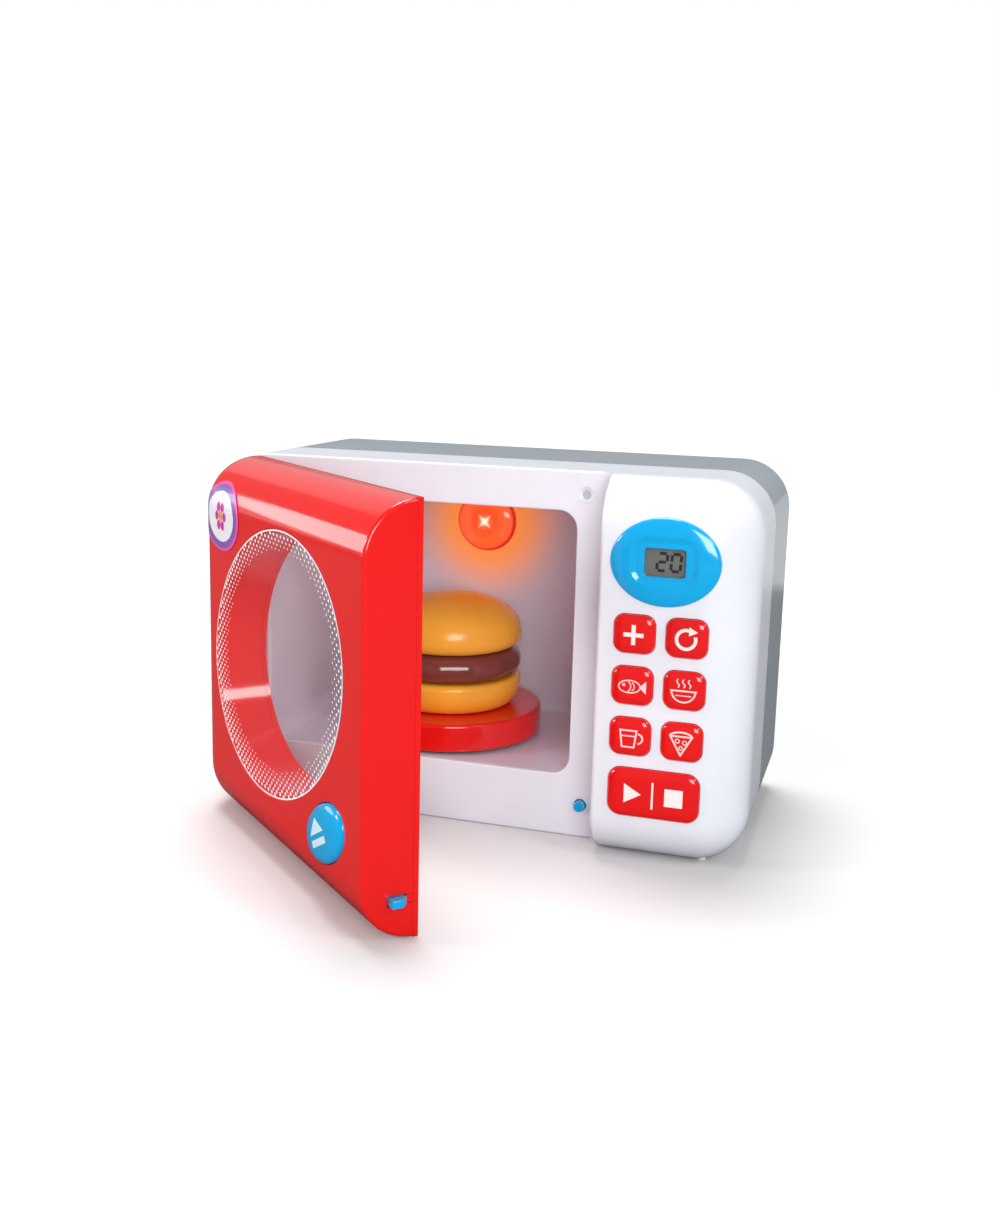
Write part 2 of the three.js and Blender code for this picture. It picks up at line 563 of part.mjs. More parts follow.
function doorBack() {
  const plate = doorBlock(0, DOOR_BACK_Y).intersect(slab(DOOR_BACK_Y - DOOR.plate, DOOR_BACK_Y));
  const pin = rod('y', SWITCH.pin, DOOR_BACK_Y - DOOR.plate / 2, RECESS_Y + SWITCH.dishDepth + WALL / 2,
    SWITCH_X, SWITCH_Z);
  return plate
    .subtract(windowTunnel())
    .subtract(rod('y', PEG.radius + 2 * GAP, SHELL_END_Y, RECESS_Y, PEG_X, PEG.z))
    .subtract(union(lugNotches()))
    .add(latchTongue(0, DOOR.right, DOOR_BACK_Y - DOOR.plate / 2))
    .add(pin);
}

function windowFilm() {
  const back = FRONT_Y + WINDOW.seat - GAP;
  return windowBlock(-GAP, back - WINDOW.film, back);
}

// The sticker bends over the door's rolled top edge
function doorSticker() {
  const grown = (lift) => housingBlock(ROLL, -lift, FRONT_Y, RECESS_Y);
  const outline = ellipse(FROM_LEFT.sticker - SIDE_X, HEIGHT - FROM_TOP.sticker, STICKER.rx, STICKER.rz);
  return prism(outline, FRONT_Y - OVERRUN, FRONT_Y + ROLL.size / 2, 'y', ROUND_STEPS)
    .intersect(grown(STICKER.lift + STICKER.thickness).subtract(grown(STICKER.lift)));
}

// Open button: domed oval cap, flange behind the door skin, stem for its spring and a wedge for the latch
const BUTTON_BACK_Y = PANEL_BACK_Y + GAP + BUTTON.flange;
const ARM_FRONT_Y = BUTTON_BACK_Y - ARM.sink;
const RAMP_X = BUTTON.x - ARM.width / 2;
const FLANGE_HALF_HEIGHT = Math.hypot(
  (BUTTON.rx + BUTTON.rim) * Math.sin(BUTTON.tilt), (BUTTON.rz + BUTTON.rim) * Math.cos(BUTTON.tilt));
const CAM_TOP = BUTTON.z - FLANGE_HALF_HEIGHT - GAP;

function openButton() {
  const wedge = new THREE.Shape();
  wedge.moveTo(RAMP_X, ARM_FRONT_Y);
  wedge.lineTo(RAMP_X + ARM.width, ARM_FRONT_Y);
  wedge.lineTo(RAMP_X + ARM.width, ARM_FRONT_Y + ARM.depth);
  wedge.lineTo(RAMP_X + ARM.depth, ARM_FRONT_Y + ARM.depth);
  wedge.closePath();
  const cap = rolled(buttonOutline(-BUTTON_EDGE.size), BUTTON_EDGE, FRONT_Y - BUTTON.rise,
    PANEL_BACK_Y + GAP + BUTTON.flange / 2, ROUND_STEPS, ARC_STEPS);
  const flange = prism(buttonOutline(BUTTON.rim), PANEL_BACK_Y + GAP, BUTTON_BACK_Y, 'y', ROUND_STEPS)
    .intersect(doorBlock(WALL + GAP, SHELL_END_Y));
  return cap
    .intersect(prism(buttonOutline(0), FRONT_Y - BUTTON.rise, BUTTON_BACK_Y, 'y', ROUND_STEPS))
    .add(flange)
    .add(prism(wedge, ARM.bottom, BUTTON.z, 'z'))
    .add(rod('y', STEM.radius, BUTTON_BACK_Y - BUTTON.flange / 2, BUTTON_BACK_Y + STEM.length, BUTTON.x,
      BUTTON.z));
}

// Latch bar between two X values, grown by a slack
function latchBlock(slack, x0, x1) {
  return box(x0, x1, LATCH_Y - LATCH.width / 2 - slack, LATCH_Y + LATCH.width / 2 + slack,
    LATCH.z - LATCH.height / 2 - slack, LATCH.z + LATCH.height / 2 + slack);
}

function latch() {
  const tip = DOOR.right + LATCH.reach;
  const bar = latchBlock(0, LATCH_BACK_X, tip);
  const frontY = LATCH_Y - LATCH.width / 2;
  const camFront = ARM_FRONT_Y + GAP * Math.SQRT2;
  const camEnd = RAMP_X + frontY - camFront;
  const cam = new THREE.Shape();
  cam.moveTo(LATCH_BACK_X, frontY + OVERRUN);
  cam.lineTo(LATCH_BACK_X, camFront);
  cam.lineTo(RAMP_X, camFront);
  cam.lineTo(camEnd, frontY);
  cam.lineTo(camEnd, frontY + OVERRUN);
  cam.closePath();
  const nose = new THREE.Shape();
  const back = LATCH_Y + LATCH.width / 2;
  const bevel = LATCH.width / 3;
  nose.moveTo(tip - bevel - OVERRUN, back + OVERRUN);
  nose.lineTo(tip + OVERRUN, back - bevel - OVERRUN);
  nose.lineTo(tip + OVERRUN, back + OVERRUN);
  nose.closePath();
  const low = LATCH.z - LATCH.height / 2;
  return bar
    .add(prism(cam, ARM.bottom, CAM_TOP, 'z'))
    .subtract(prism(nose, low - OVERRUN, CAM_TOP, 'z'));
}

// Blue release peg with its flange, spring and the cap that holds them in their tube
function releasePeg() {
  const flangeFrom = RECESS_Y + PEG.guide + GAP;
  return rod('y', PEG.radius, RECESS_Y - PEG.rise, flangeFrom + PEG.flangeThickness, PEG_X, PEG.z)
    .add(rod('y', PEG.radius + PEG.flange, flangeFrom, flangeFrom + PEG.flangeThickness, PEG_X, PEG.z));
}

const pegCapFrom = RECESS_Y + PEG_TUBE.length - PEG_TUBE.cap;
const pegFlangeBack = RECESS_Y + PEG.guide + GAP + PEG.flangeThickness;

// Keys: a pillow cap with a flange that follows the inside of the panel
function keyCap({ x, z, width, height, radius }) {
  const { rim } = KEY;
  const inset = 2 * KEY_EDGE.size;
  const flat = centredRect(x, z, width - inset, height - inset, radius - KEY_EDGE.size);
  const flange = centredRect(x, z, width + 2 * rim, height + 2 * rim, radius + rim);
  const skirt = prism(flange, PANEL_BACK_Y + GAP, KEY_BACK_Y, 'y', KEY_STEPS)
    .intersect(housingBlock(ROLL, WALL + GAP, FRONT_Y, SEAM_Y));
  return rolled(flat, KEY_EDGE, FRONT_Y - KEY.rise, KEY_BACK_Y, KEY_STEPS, KEY_STEPS).add(skirt);
}

function keyMat() {
  const span = KEYS.pitchX + KEY.width;
  const low = START_KEY.z - START_KEY.height / 2;
  const high = KEYS.lowZ + (KEY_ROWS - 1) * KEYS.pitchZ + KEY.height / 2;
  const sheet = roundedRect(PANEL.centre - span / 2, PANEL.centre + span / 2, low, high, KEY.radius);
  const pads = keyPlaces.map(({ x, z, width, height }) => prism(
    centredRect(x, z, width - 2 * MAT.padMargin, height - 2 * MAT.padMargin, MAT.padMargin / 2),
    MAT_Y - MAT.padRise, MAT_Y + MAT.thickness / 2, 'y', KEY_STEPS));
  return prism(sheet, MAT_Y, BOARD_Y - GAP, 'y', KEY_STEPS).add(union(pads));
}

// Display: bezel with a sunk frame, clear lens and the LCD behind it
function lcdBezel() {
  const { rx, rz, z } = BEZEL;
  const flat = ellipse(BEZEL_X, z, rx - BEZEL_EDGE.size, rz - BEZEL_EDGE.size);
  const dome = rolled(flat, BEZEL_EDGE, FRONT_Y - BEZEL.rise, BEZEL_BACK_Y, ROUND_STEPS, ARC_STEPS)
    .subtract(housingBlock(ROLL, -GAP, FRONT_Y, SEAM_Y));
  const throat = prism(ellipse(BEZEL_X, z, rx - BEZEL.lip - GAP, rz - BEZEL.lip - GAP),
    FRONT_Y - GAP - DISPLAY.dish / 2, BEZEL_BACK_Y, 'y', ROUND_STEPS);
  const dish = centredRect(BEZEL_X, z, DISPLAY.dishWidth, DISPLAY.dishHeight, DISPLAY.dishRadius);
  const view = centredRect(BEZEL_X, z, DISPLAY.width, DISPLAY.height, DISPLAY.dish);
  return dome
    .add(throat)
    .subtract(prism(dish, FRONT_Y - BEZEL.rise - OVERRUN, FRONT_Y - BEZEL.rise + DISPLAY.dish, 'y'))
    .subtract(prism(view, FRONT_Y - BEZEL.rise, BEZEL_BACK_Y + OVERRUN, 'y'))
    .subtract(lensBlock(GAP, BEZEL_BACK_Y - LENS.thickness - 2 * GAP, BEZEL_BACK_Y + OVERRUN));
}

function lensBlock(slack, from, to) {
  const width = DISPLAY.width + 2 * (LENS.margin + slack);
  const height = DISPLAY.height + 2 * (LENS.margin + slack);
  return prism(centredRect(BEZEL_X, BEZEL.z, width, height, DISPLAY.dish), from, to, 'y');
}

function lcdModule() {
  const width = DISPLAY.width + 2 * LCD.margin;
  const height = DISPLAY.height + 2 * LCD.margin;
  return box(BEZEL_X - width / 2, BEZEL_X + width / 2, LCD_Y, LCD_Y + LCD.thickness,
    BEZEL.z - height / 2, BEZEL.z + height / 2);
}

function controlBoard() {
  const chip = { width: 14, height: 9, depth: 2 };
  const chipZ = (BOARD.bottom + BOARD.top) / 2;
  const back = BOARD_Y + BOARD.thickness;
  const board = box(PANEL.centre - BOARD.width / 2, PANEL.centre + BOARD.width / 2, BOARD_Y, back,
    BOARD.bottom, BOARD.top);
  return board.add(box(PANEL.centre - chip.width / 2, PANEL.centre + chip.width / 2,
    back - BOARD.thickness / 2, back + chip.depth, chipZ - chip.height / 2, chipZ + chip.height / 2));
}

// Speaker: frame and magnet against the holes in the back
function speaker() {
  const back = BACK_Y - WALL - GAP;
  const frameFrom = back - SPEAKER.depth / 2;
  return rod('y', SPEAKER.radius, frameFrom, back, SPEAKER_X, SPEAKER_Z, ROUND_STEPS)
    .add(rod('y', SPEAKER.magnet, back - SPEAKER.depth, frameFrom + GAP, SPEAKER_X, SPEAKER_Z));
}

// Lamp: red dome through the liner's back and the small board with its light
const LAMP_FLANGE_Y = CAVITY_BACK_Y + CAVITY.wall + GAP;
const LAMP_BOARD_Y = LAMP_FLANGE_Y + LAMP.flangeThickness + GAP;

function lampLens() {
  const profile = [
    new THREE.Vector2(0, 0),
    new THREE.Vector2(LAMP.radius, 0),
    ...bend(0, LAMP_FLANGE_Y - CAVITY_BACK_Y, LAMP.radius, LAMP.rise, 0, Math.PI / 2, ROLL_STEPS),
  ];
  profile[profile.length - 1].x = 0;
  const geometry = new THREE.LatheGeometry(profile, 2 * ROUND_STEPS).translate(0, -LAMP_FLANGE_Y, 0);
  const dome = toSolid(geometry.rotateZ(Math.PI).translate(LAMP_X, 0, LAMP_Z));
  return dome.add(rod('y', LAMP.radius + LAMP.flange, LAMP_FLANGE_Y, LAMP_FLANGE_Y + LAMP.flangeThickness,
    LAMP_X, LAMP_Z, ROUND_STEPS));
}

function lampBoard() {
  const to = LAMP_BOARD_Y + LAMP_DISC.thickness;
  return rod('y', LAMP_DISC.radius, LAMP_BOARD_Y, to, LAMP_X, LAMP_Z, ROUND_STEPS);
}

// Turntable: a shallow cap with a round edge and a socket for the spindle's head
const TABLE_Z = CAVITY.bottom + TABLE.lift;
const TABLE_TOP = TABLE_Z + TABLE.thickness;

function turntable() {
  const { radius, edge, skin } = TABLE;
  const outline = [
    new THREE.Vector2(0, TABLE_Z),
    new THREE.Vector2(radius, TABLE_Z),
    ...bend(radius - edge, TABLE_TOP - edge, edge, edge, 0, Math.PI / 2),
    new THREE.Vector2(0, TABLE_TOP),
  ];
  const hollow = [
    new THREE.Vector2(TABLE.boss, TABLE_Z - OVERRUN),
    new THREE.Vector2(radius - skin, TABLE_Z - OVERRUN),
    new THREE.Vector2(radius - skin, TABLE_TOP - edge),
    new THREE.Vector2(radius - edge, TABLE_TOP - skin),
    new THREE.Vector2(TABLE.boss, TABLE_TOP - skin),
    new THREE.Vector2(TABLE.boss, TABLE_Z - OVERRUN),
  ];
  const socketTop = TABLE_Z + SPINDLE.headHeight + GAP;
  return lathe(outline, CAVITY_X, TABLE_Y)
    .subtract(lathe(hollow, CAVITY_X, TABLE_Y))
    .subtract(hexHead(SPINDLE.head + TABLE.bossClear, TABLE_Z - OVERRUN, socketTop));
}

function hexHead(radius, from, to) {
  const shape = new THREE.Shape(
    Array.from({ length: 6 }, (_, i) => new THREE.Vector2(
      CAVITY_X + radius * Math.cos((i * Math.PI) / 3), TABLE_Y + radius * Math.sin((i * Math.PI) / 3))));
  return prism(shape, from, to, 'z');
}

function turntableSpindle() {
  const flangeTop = TABLE_Z - GAP;
  return rod('z', SPINDLE.radius, SPINDLE.foot, flangeTop, CAVITY_X, TABLE_Y)
    .add(rod('z', SPINDLE.flange, flangeTop - SPINDLE.flangeThickness, flangeTop, CAVITY_X, TABLE_Y))
    .add(hexHead(SPINDLE.head, flangeTop - SPINDLE.flangeThickness, TABLE_Z + SPINDLE.headHeight));
}

// Spur gear whose tooth, or gap, faces along X
function gear(teeth, x, y, phase, bore) {
  const pitchRadius = (GEAR.module * teeth) / 2;
  const root = pitchRadius - GEAR.module - GEAR.clearance;
  const tip = pitchRadius + GEAR.module - GEAR.clearance;
  const step = (2 * Math.PI) / teeth;
  const rootShare = 0.27;
  const tipShare = 0.12;
  const points = [];
  for (let i = 0; i < teeth; i += 1) {
    const middle = (i + phase) * step;
    const flanks = [[root, -rootShare], [tip, -tipShare], [tip, tipShare], [root, rootShare]];
    for (const [radius, share] of flanks) {
      const angle = middle + share * step;
      points.push(new THREE.Vector2(x + radius * Math.cos(angle), y + radius * Math.sin(angle)));
    }
  }
  const top = GEAR.bottom + GEAR.thickness;
  const body = prism(new THREE.Shape(points), GEAR.bottom, top, 'z');
  if (bore === 0) return body;
  return body.subtract(rod('z', bore, GEAR.bottom - OVERRUN, top + OVERRUN, x, y));
}

const PINION_X = CAVITY_X + (GEAR.module * (GEAR.teeth + GEAR.pinionTeeth)) / 2;
const SHAFT_DEPTH = 4;

function drivePinion() {
  const evenPhase = GEAR.pinionTeeth % 2 === 0 ? 0.5 : 0;
  const shaftTop = GEAR.bottom + GEAR.thickness / 2;
  return gear(GEAR.pinionTeeth, PINION_X, TABLE_Y, evenPhase, 0)
    .add(rod('z', MOTOR.shaft, MOTOR.top - SHAFT_DEPTH, shaftTop, PINION_X, TABLE_Y));
}

function driveMotor() {
  const y0 = TABLE_Y - MOTOR.width / 2;
  const y1 = y0 + MOTOR.length;
  const canZ = MOTOR.bottom + MOTOR_CAN.radius + GAP;
  const socketFrom = MOTOR.top - SHAFT_DEPTH - GAP;
  return box(PINION_X - MOTOR.width / 2, PINION_X + MOTOR.width / 2, y0, y1, MOTOR.bottom, MOTOR.top)
    .add(rod('y', MOTOR_CAN.radius, y1 - GAP, y1 + MOTOR_CAN.length, PINION_X, canZ))
    .subtract(rod('z', MOTOR.shaft + GAP, socketFrom, MOTOR.top + OVERRUN, PINION_X, TABLE_Y));
}

// Burger, from the bottom bun up
const BUN_Z = TABLE_TOP + BURGER.seat;
const PATTY_Z = BUN_Z + LAYERS.bottom + BURGER.seat;
const TOP_BUN_Z = PATTY_Z + LAYERS.patty + BURGER.seat;

function bottomBun() {
  const { radius, base, edge } = BURGER;
  const shoulderZ = BUN_Z + LAYERS.bottom - edge;
  return lathe([
    new THREE.Vector2(0, BUN_Z),
    ...bend(base, shoulderZ, radius - base, shoulderZ - BUN_Z, -Math.PI / 2, 0, ROLL_STEPS),
    ...bend(radius - edge, shoulderZ, edge, edge, 0, Math.PI / 2).slice(1),
    new THREE.Vector2(0, BUN_Z + LAYERS.bottom),
  ], CAVITY_X, TABLE_Y);
}

function patty() {
  const half = LAYERS.patty / 2;
  return lathe([
    new THREE.Vector2(0, PATTY_Z),
    ...bend(BURGER.patty - half, PATTY_Z + half, half, half, -Math.PI / 2, Math.PI / 2, ROLL_STEPS),
    new THREE.Vector2(0, PATTY_Z + LAYERS.patty),
  ], CAVITY_X, TABLE_Y);
}

function topBun() {
  const { radius, round } = BURGER;
  const shoulderZ = TOP_BUN_Z + round;
  return lathe([
    new THREE.Vector2(0, TOP_BUN_Z),
    ...bend(radius - round, shoulderZ, round, round, -Math.PI / 2, 0),
    ...bend(0, shoulderZ, radius, LAYERS.top - round, 0, Math.PI / 2, ROLL_STEPS).slice(1, -1),
    new THREE.Vector2(0, TOP_BUN_Z + LAYERS.top),
  ], CAVITY_X, TABLE_Y);
}

// Battery bay in the base: inverted box, cells, contact strips and the screwed hatch
const bayHalf = ((CELL.count - 1) * CELL.pitch) / 2 + CELL.radius + GAP;
const endRoom = CONTACT.thickness + CONTACT.bump + 2 * GAP;
const bayLength = CELL.length + CELL.nub + 2 * endRoom;
const bayInside = {
  x0: BAY_X - bayHalf,
  x1: BAY_X + bayHalf,
  y0: BAY_FRONT_Y + BATTERY_BOX.wall,
  y1: BAY_FRONT_Y + BATTERY_BOX.wall + bayLength,
};
const RIM_TOP = HATCH.thickness + WALL;
const CELL_Z = HATCH.thickness + GAP + CELL.radius;
const BAY_TOP = CELL_Z + CELL.radius + GAP;

function batteryBox() {
  const { x0, x1, y0, y1 } = bayInside;
  const wall = BATTERY_BOX.wall;
  return box(x0 - wall, x1 + wall, y0 - wall, y1 + wall, RIM_TOP + GAP, BAY_TOP + wall)
    .subtract(box(x0, x1, y0, y1, -OVERRUN, BAY_TOP));
}

const cellX = (index) => BAY_X + (index - (CELL.count - 1) / 2) * CELL.pitch;

function cell(index) {
  const x = cellX(index);
  const flip = index % 2 === 1;
  const middle = (bayInside.y0 + bayInside.y1) / 2;
  const from = middle - (CELL.length + CELL.nub) / 2 + (flip ? CELL.nub : 0);
  const to = from + CELL.length;
  const nub = flip ? rod('y', CELL.nubRadius, from - CELL.nub, to, x, CELL_Z)
    : rod('y', CELL.nubRadius, from, to + CELL.nub, x, CELL_Z);
  return rod('y', CELL.radius, from, to, x, CELL_Z).add(nub);
}

function contactStrip(y, direction) {
  const plateEnd = y + direction * CONTACT.thickness;
  const bumpEnd = plateEnd + direction * CONTACT.bump;
  const plate = box(bayInside.x0 + GAP, bayInside.x1 - GAP, Math.min(y, plateEnd), Math.max(y, plateEnd),
    CELL_Z - CONTACT.height / 2, CELL_Z + CONTACT.height / 2);
  const bumps = Array.from({ length: CELL.count }, (_, i) => rod('y', CONTACT.bumpRadius,
    Math.min(y, bumpEnd), Math.max(y, bumpEnd), cellX(i), CELL_Z));
  return plate.add(union(bumps));
}

// Outline of the hatch, grown by a margin, between two heights
function hatchBlock(margin, from, to) {
  const { x0, x1, y0, y1 } = bayInside;
  const side = HATCH.ledge + margin;
  return box(x0 - side, x1 + side, y0 - HATCH.tab - margin, y1 + side, from, to);
}

const hatchScrewY = bayInside.y0 - BATTERY_BOX.wall - GAP - HATCH_BOSS.radius;

function hatchRod(radius, from, to) {
  return rod('z', radius, from, to, BAY_X, hatchScrewY);
}

// The raised rim round the bay's opening, with the ledge and the boss that hold the hatch
function addBayRim(shell) {
  const { x0, x1, y0, y1 } = bayInside;
  const bore = HATCH_SCREW.radius + GAP;
  return shell
    .add(hatchBlock(WALL, 0, RIM_TOP))
    .add(hatchRod(HATCH_BOSS.radius, WALL, HATCH_BOSS.top))
    .subtract(hatchBlock(GAP, -OVERRUN, HATCH.thickness + GAP))
    .subtract(hatchRod(bore, 0, HATCH_BOSS.top - GAP))
    .subtract(box(x0, x1, y0, y1, -OVERRUN, RIM_TOP + OVERRUN));
}

function batteryDoor() {
  const recess = HATCH_SCREW.headHeight + 2 * GAP;
  return hatchBlock(0, 0, HATCH.thickness)
    .subtract(hatchRod(HATCH_SCREW.headRadius + GAP, -OVERRUN, recess))
    .subtract(hatchRod(HATCH_SCREW.radius + GAP, -OVERRUN, HATCH.thickness + OVERRUN));
}

function batteryDoorScrew() {
  return hatchRod(HATCH_SCREW.headRadius, GAP, GAP + HATCH_SCREW.headHeight)
    .add(hatchRod(HATCH_SCREW.radius, GAP, GAP + HATCH_SCREW.length));
}

// Screws: pan head and shank along an axis, head first
function screwAlongY(x, z) {
  const seat = POST_END_Y + GAP + WALL + GAP;
  return rod('y', SCREW.headRadius, seat, seat + SCREW.headHeight, x, z)
    .add(rod('y', SCREW.radius, seat - SCREW.length, seat + SCREW.headHeight / 2, x, z, ARC_STEPS));
}

// Fixed pieces of the housing
addPiece('front_shell', frontShell(), WHITE);
addPiece('rear_shell', rearShell(), SILVER);
addPiece('cavity_liner', cavityLiner(), LINER);
addPiece('lcd_bezel', lcdBezel(), BLUE);
addPiece('lcd_lens', lensBlock(0, BEZEL_BACK_Y - LENS.thickness - GAP, BEZEL_BACK_Y - GAP), CLEAR);
addPiece('lcd_module', lcdModule(), LCD_GREY);
addPiece('key_mat', keyMat(), RUBBER);
addPiece('control_board', controlBoard(), BOARD_GREEN);
addPiece('speaker', speaker(), BLACK);
addPiece('lamp_lens', lampLens(), LAMP_RED);
addPiece('lamp_board', lampBoard(), BOARD_GREEN);
addPiece('door_switch', box(SWITCH_X - SWITCH.width / 2, SWITCH_X + SWITCH.width / 2, RECESS_Y + WALL + GAP,
  RECESS_Y + WALL + GAP + SWITCH.depth, SWITCH_Z - SWITCH.height / 2, SWITCH_Z + SWITCH.height / 2), BLACK);
posts.forEach(({ x, z }, i) => addPiece(`shell_screw_${i + 1}`, screwAlongY(x, z), STEEL));
lugs.forEach(({ from, to }, i) => {
  const reach = HINGE.knuckle - GAP;
  addPiece(i === 0 ? 'hinge_pin_lower' : 'hinge_pin_upper',
    rod('z', HINGE.pinRadius, from - reach, to + reach, HINGE_X, HINGE_Y, ARC_STEPS), STEEL);
});
const RELEASE_TURNS = 4;
addPiece('release_spring', spring('y', PEG.radius, pegFlangeBack + PEG.travel + GAP, pegCapFrom - GAP,
  PEG_X, PEG.z, RELEASE_TURNS), STEEL);
addPiece('release_cap',
  rod('y', pegTubeBore - GAP, pegCapFrom, RECESS_Y + PEG_TUBE.length, PEG_X, PEG.z), GEAR_WHITE);

// Power
addPiece('battery_box', batteryBox(), BLACK);
for (let i = 0; i < CELL.count; i += 1) addPiece(`battery_${i + 1}`, cell(i), CELL_JACKET);
addPiece('contact_strip_front', contactStrip(bayInside.y0 + GAP, 1), STEEL);
addPiece('contact_strip_rear', contactStrip(bayInside.y1 - GAP, -1), STEEL);
addPiece('battery_door', batteryDoor(), SILVER);
addPiece('battery_door_screw', batteryDoorScrew(), STEEL);

// Release peg and keys
addPiece('release_peg', releasePeg(), BLUE);
keyPlaces.forEach((key, i) => {
  const row = Math.floor(i / KEYS.columns);
  const side = i % KEYS.columns === 0 ? 'left' : 'right';
  addPiece(row === KEY_ROWS ? 'start_stop_key' : `key_row${row + 1}_${side}`, keyCap(key), RED);
});

// Door leaf
addPiece('door_shell', doorShell(), RED, doorLeaf);
addPiece('door_back', doorBack(), RED, doorLeaf);
addPiece('window_film', windowFilm(), CLEAR, doorLeaf);
addPiece('door_sticker', doorSticker(), STICKER_PINK, doorLeaf);
addPiece('open_button', openButton(), BLUE, doorLeaf);
addPiece('latch', latch(), BLUE, doorLeaf);
const BUTTON_TURNS = 6;
const LATCH_TURNS = 3;
addPiece('button_spring',
  spring('y', STEM.radius + 2 * SPRING.wire + GAP, ARM_FRONT_Y + ARM.depth + BUTTON_TRAVEL + GAP,
    DOOR_BACK_Y - DOOR.plate - GAP, BUTTON.x, BUTTON.z, BUTTON_TURNS), STEEL, doorLeaf);
addPiece('latch_spring',
  spring('x', LATCH.height / 2 - SPRING.wire, LATCH_STOP_X + LATCH_STOP.thickness + GAP,
    LATCH_BACK_X - BUTTON_TRAVEL - GAP, LATCH_Y, LATCH.z, LATCH_TURNS), STEEL, doorLeaf);

// Turntable drive and burger
addPiece('turntable', turntable(), RED);
addPiece('turntable_spindle', turntableSpindle(), GEAR_WHITE);
addPiece('drive_gear', gear(GEAR.teeth, CAVITY_X, TABLE_Y, 0, SPINDLE.radius + GAP), GEAR_WHITE);
addPiece('drive_pinion', drivePinion(), GEAR_WHITE);
addPiece('drive_motor', driveMotor(), BLACK);
addPiece('bottom_bun', bottomBun(), BUN);
addPiece('patty', patty(), PATTY);
addPiece('top_bun', topBun(), BUN);

export default model;
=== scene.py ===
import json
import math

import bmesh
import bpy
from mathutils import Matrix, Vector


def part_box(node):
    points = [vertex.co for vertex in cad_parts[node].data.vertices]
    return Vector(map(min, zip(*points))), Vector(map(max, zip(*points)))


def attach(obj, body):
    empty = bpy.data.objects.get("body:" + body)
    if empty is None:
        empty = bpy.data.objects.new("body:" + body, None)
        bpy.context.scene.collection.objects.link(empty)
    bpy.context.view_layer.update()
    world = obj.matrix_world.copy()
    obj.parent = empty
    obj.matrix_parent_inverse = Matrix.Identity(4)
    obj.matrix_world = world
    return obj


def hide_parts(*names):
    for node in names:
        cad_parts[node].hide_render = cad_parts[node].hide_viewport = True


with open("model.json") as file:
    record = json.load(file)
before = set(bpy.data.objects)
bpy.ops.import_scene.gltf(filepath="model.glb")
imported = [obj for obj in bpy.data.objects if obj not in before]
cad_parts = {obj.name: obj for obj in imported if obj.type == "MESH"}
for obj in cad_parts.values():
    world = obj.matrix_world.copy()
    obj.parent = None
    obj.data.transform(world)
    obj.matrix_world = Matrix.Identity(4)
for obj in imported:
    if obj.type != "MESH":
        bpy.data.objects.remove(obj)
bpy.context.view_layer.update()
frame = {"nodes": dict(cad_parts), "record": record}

# %% [markdown]
# # A toy microwave with its door ajar
# The toy is a set of glossy injection mouldings: a white front shell with a control panel, a silver
# back shell, a red door with a tilted oval window, a blue oval display bezel and a small turntable with
# a plastic burger. The frame gives every piece its place and size. This lesson remakes the visible
# mouldings finely, because gloss shows every facet, and gives every hidden piece its own finish.

MM = 0.001
rear_low, rear_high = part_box("rear_shell")
joints = {joint["name"]: joint for joint in frame["record"]["behaviour"]["joints"]}

GAP = 0.3 * MM
WALL = 2.4 * MM
WIDTH = rear_high.x - rear_low.x
HEIGHT = rear_high.z
BACK_Y = rear_high.y
FRONT_Y = -BACK_Y
RECESS_Y = FRONT_Y + 26 * MM
SEAM_Y = rear_low.y - GAP
CORNER = 25 * MM
ROLL_SIZE = 24 * MM
ROLL_DEPTH = 25 * MM
BACK_ROLL = 9 * MM
PAST = 5 * MM
HINGE = Vector(joints["door_hinge"]["pos_m"])
OPEN_ANGLE = math.radians(joints["door_hinge"]["range_deg"][1])


def middle_of(node):
    low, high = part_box(node)
    return [(a + b) / 2 for a, b in zip(low, high)]


print("housing", round(WIDTH / MM), "x", round(HEIGHT / MM), "x", round((BACK_Y - FRONT_Y) / MM), "mm")

# %% [markdown]
# ## Mesh helpers
# Injection mouldings are loops of rounded outlines stacked along one axis, so one helper skins loops.
# Holes are cut with the Boolean modifier on closed solids, and a flared cutter leaves a soft lip, which
# is what moulded plastic shows: an edge is never quite sharp, and the highlight on it sells the size.

# %% Curves
def quarter_turn(steps, first=0):
    """Angles from 0 to a right angle in even steps."""
    return [math.radians(90 * i / steps) for i in range(first, steps + 1)]


def turned(u, v, tilt):
    return u * math.cos(tilt) - v * math.sin(tilt), u * math.sin(tilt) + v * math.cos(tilt)


def crown_fall(share, power=2):
    """How far a crowned face has dropped, from 0 at its middle to 1 at its rim."""
    return 1 - math.sqrt(max(1 - share ** power, 0.0))


def arc(cx, cy, rx, ry, start, end, steps):
    """Points on a stretch of ellipse, angles in degrees."""
    return [(cx + rx * math.cos(math.radians(start + (end - start) * i / steps)),
             cy + ry * math.sin(math.radians(start + (end - start) * i / steps))) for i in range(steps + 1)]


# %% Outlines in the plane of the face
def rounded_outline(x0, x1, z0, z1, radius, steps=8):
    """Corner points of a rounded rectangle, counter-clockwise."""
    corners = ((x1 - radius, z0 + radius, -90), (x1 - radius, z1 - radius, 0),
               (x0 + radius, z1 - radius, 90), (x0 + radius, z0 + radius, 180))
    return [point for cx, cz, start in corners
            for point in arc(cx, cz, radius, radius, start, start + 90, steps)]


def centred_outline(x, z, width, height, radius, steps=8):
    return rounded_outline(x - width / 2, x + width / 2, z - height / 2, z + height / 2, radius, steps)


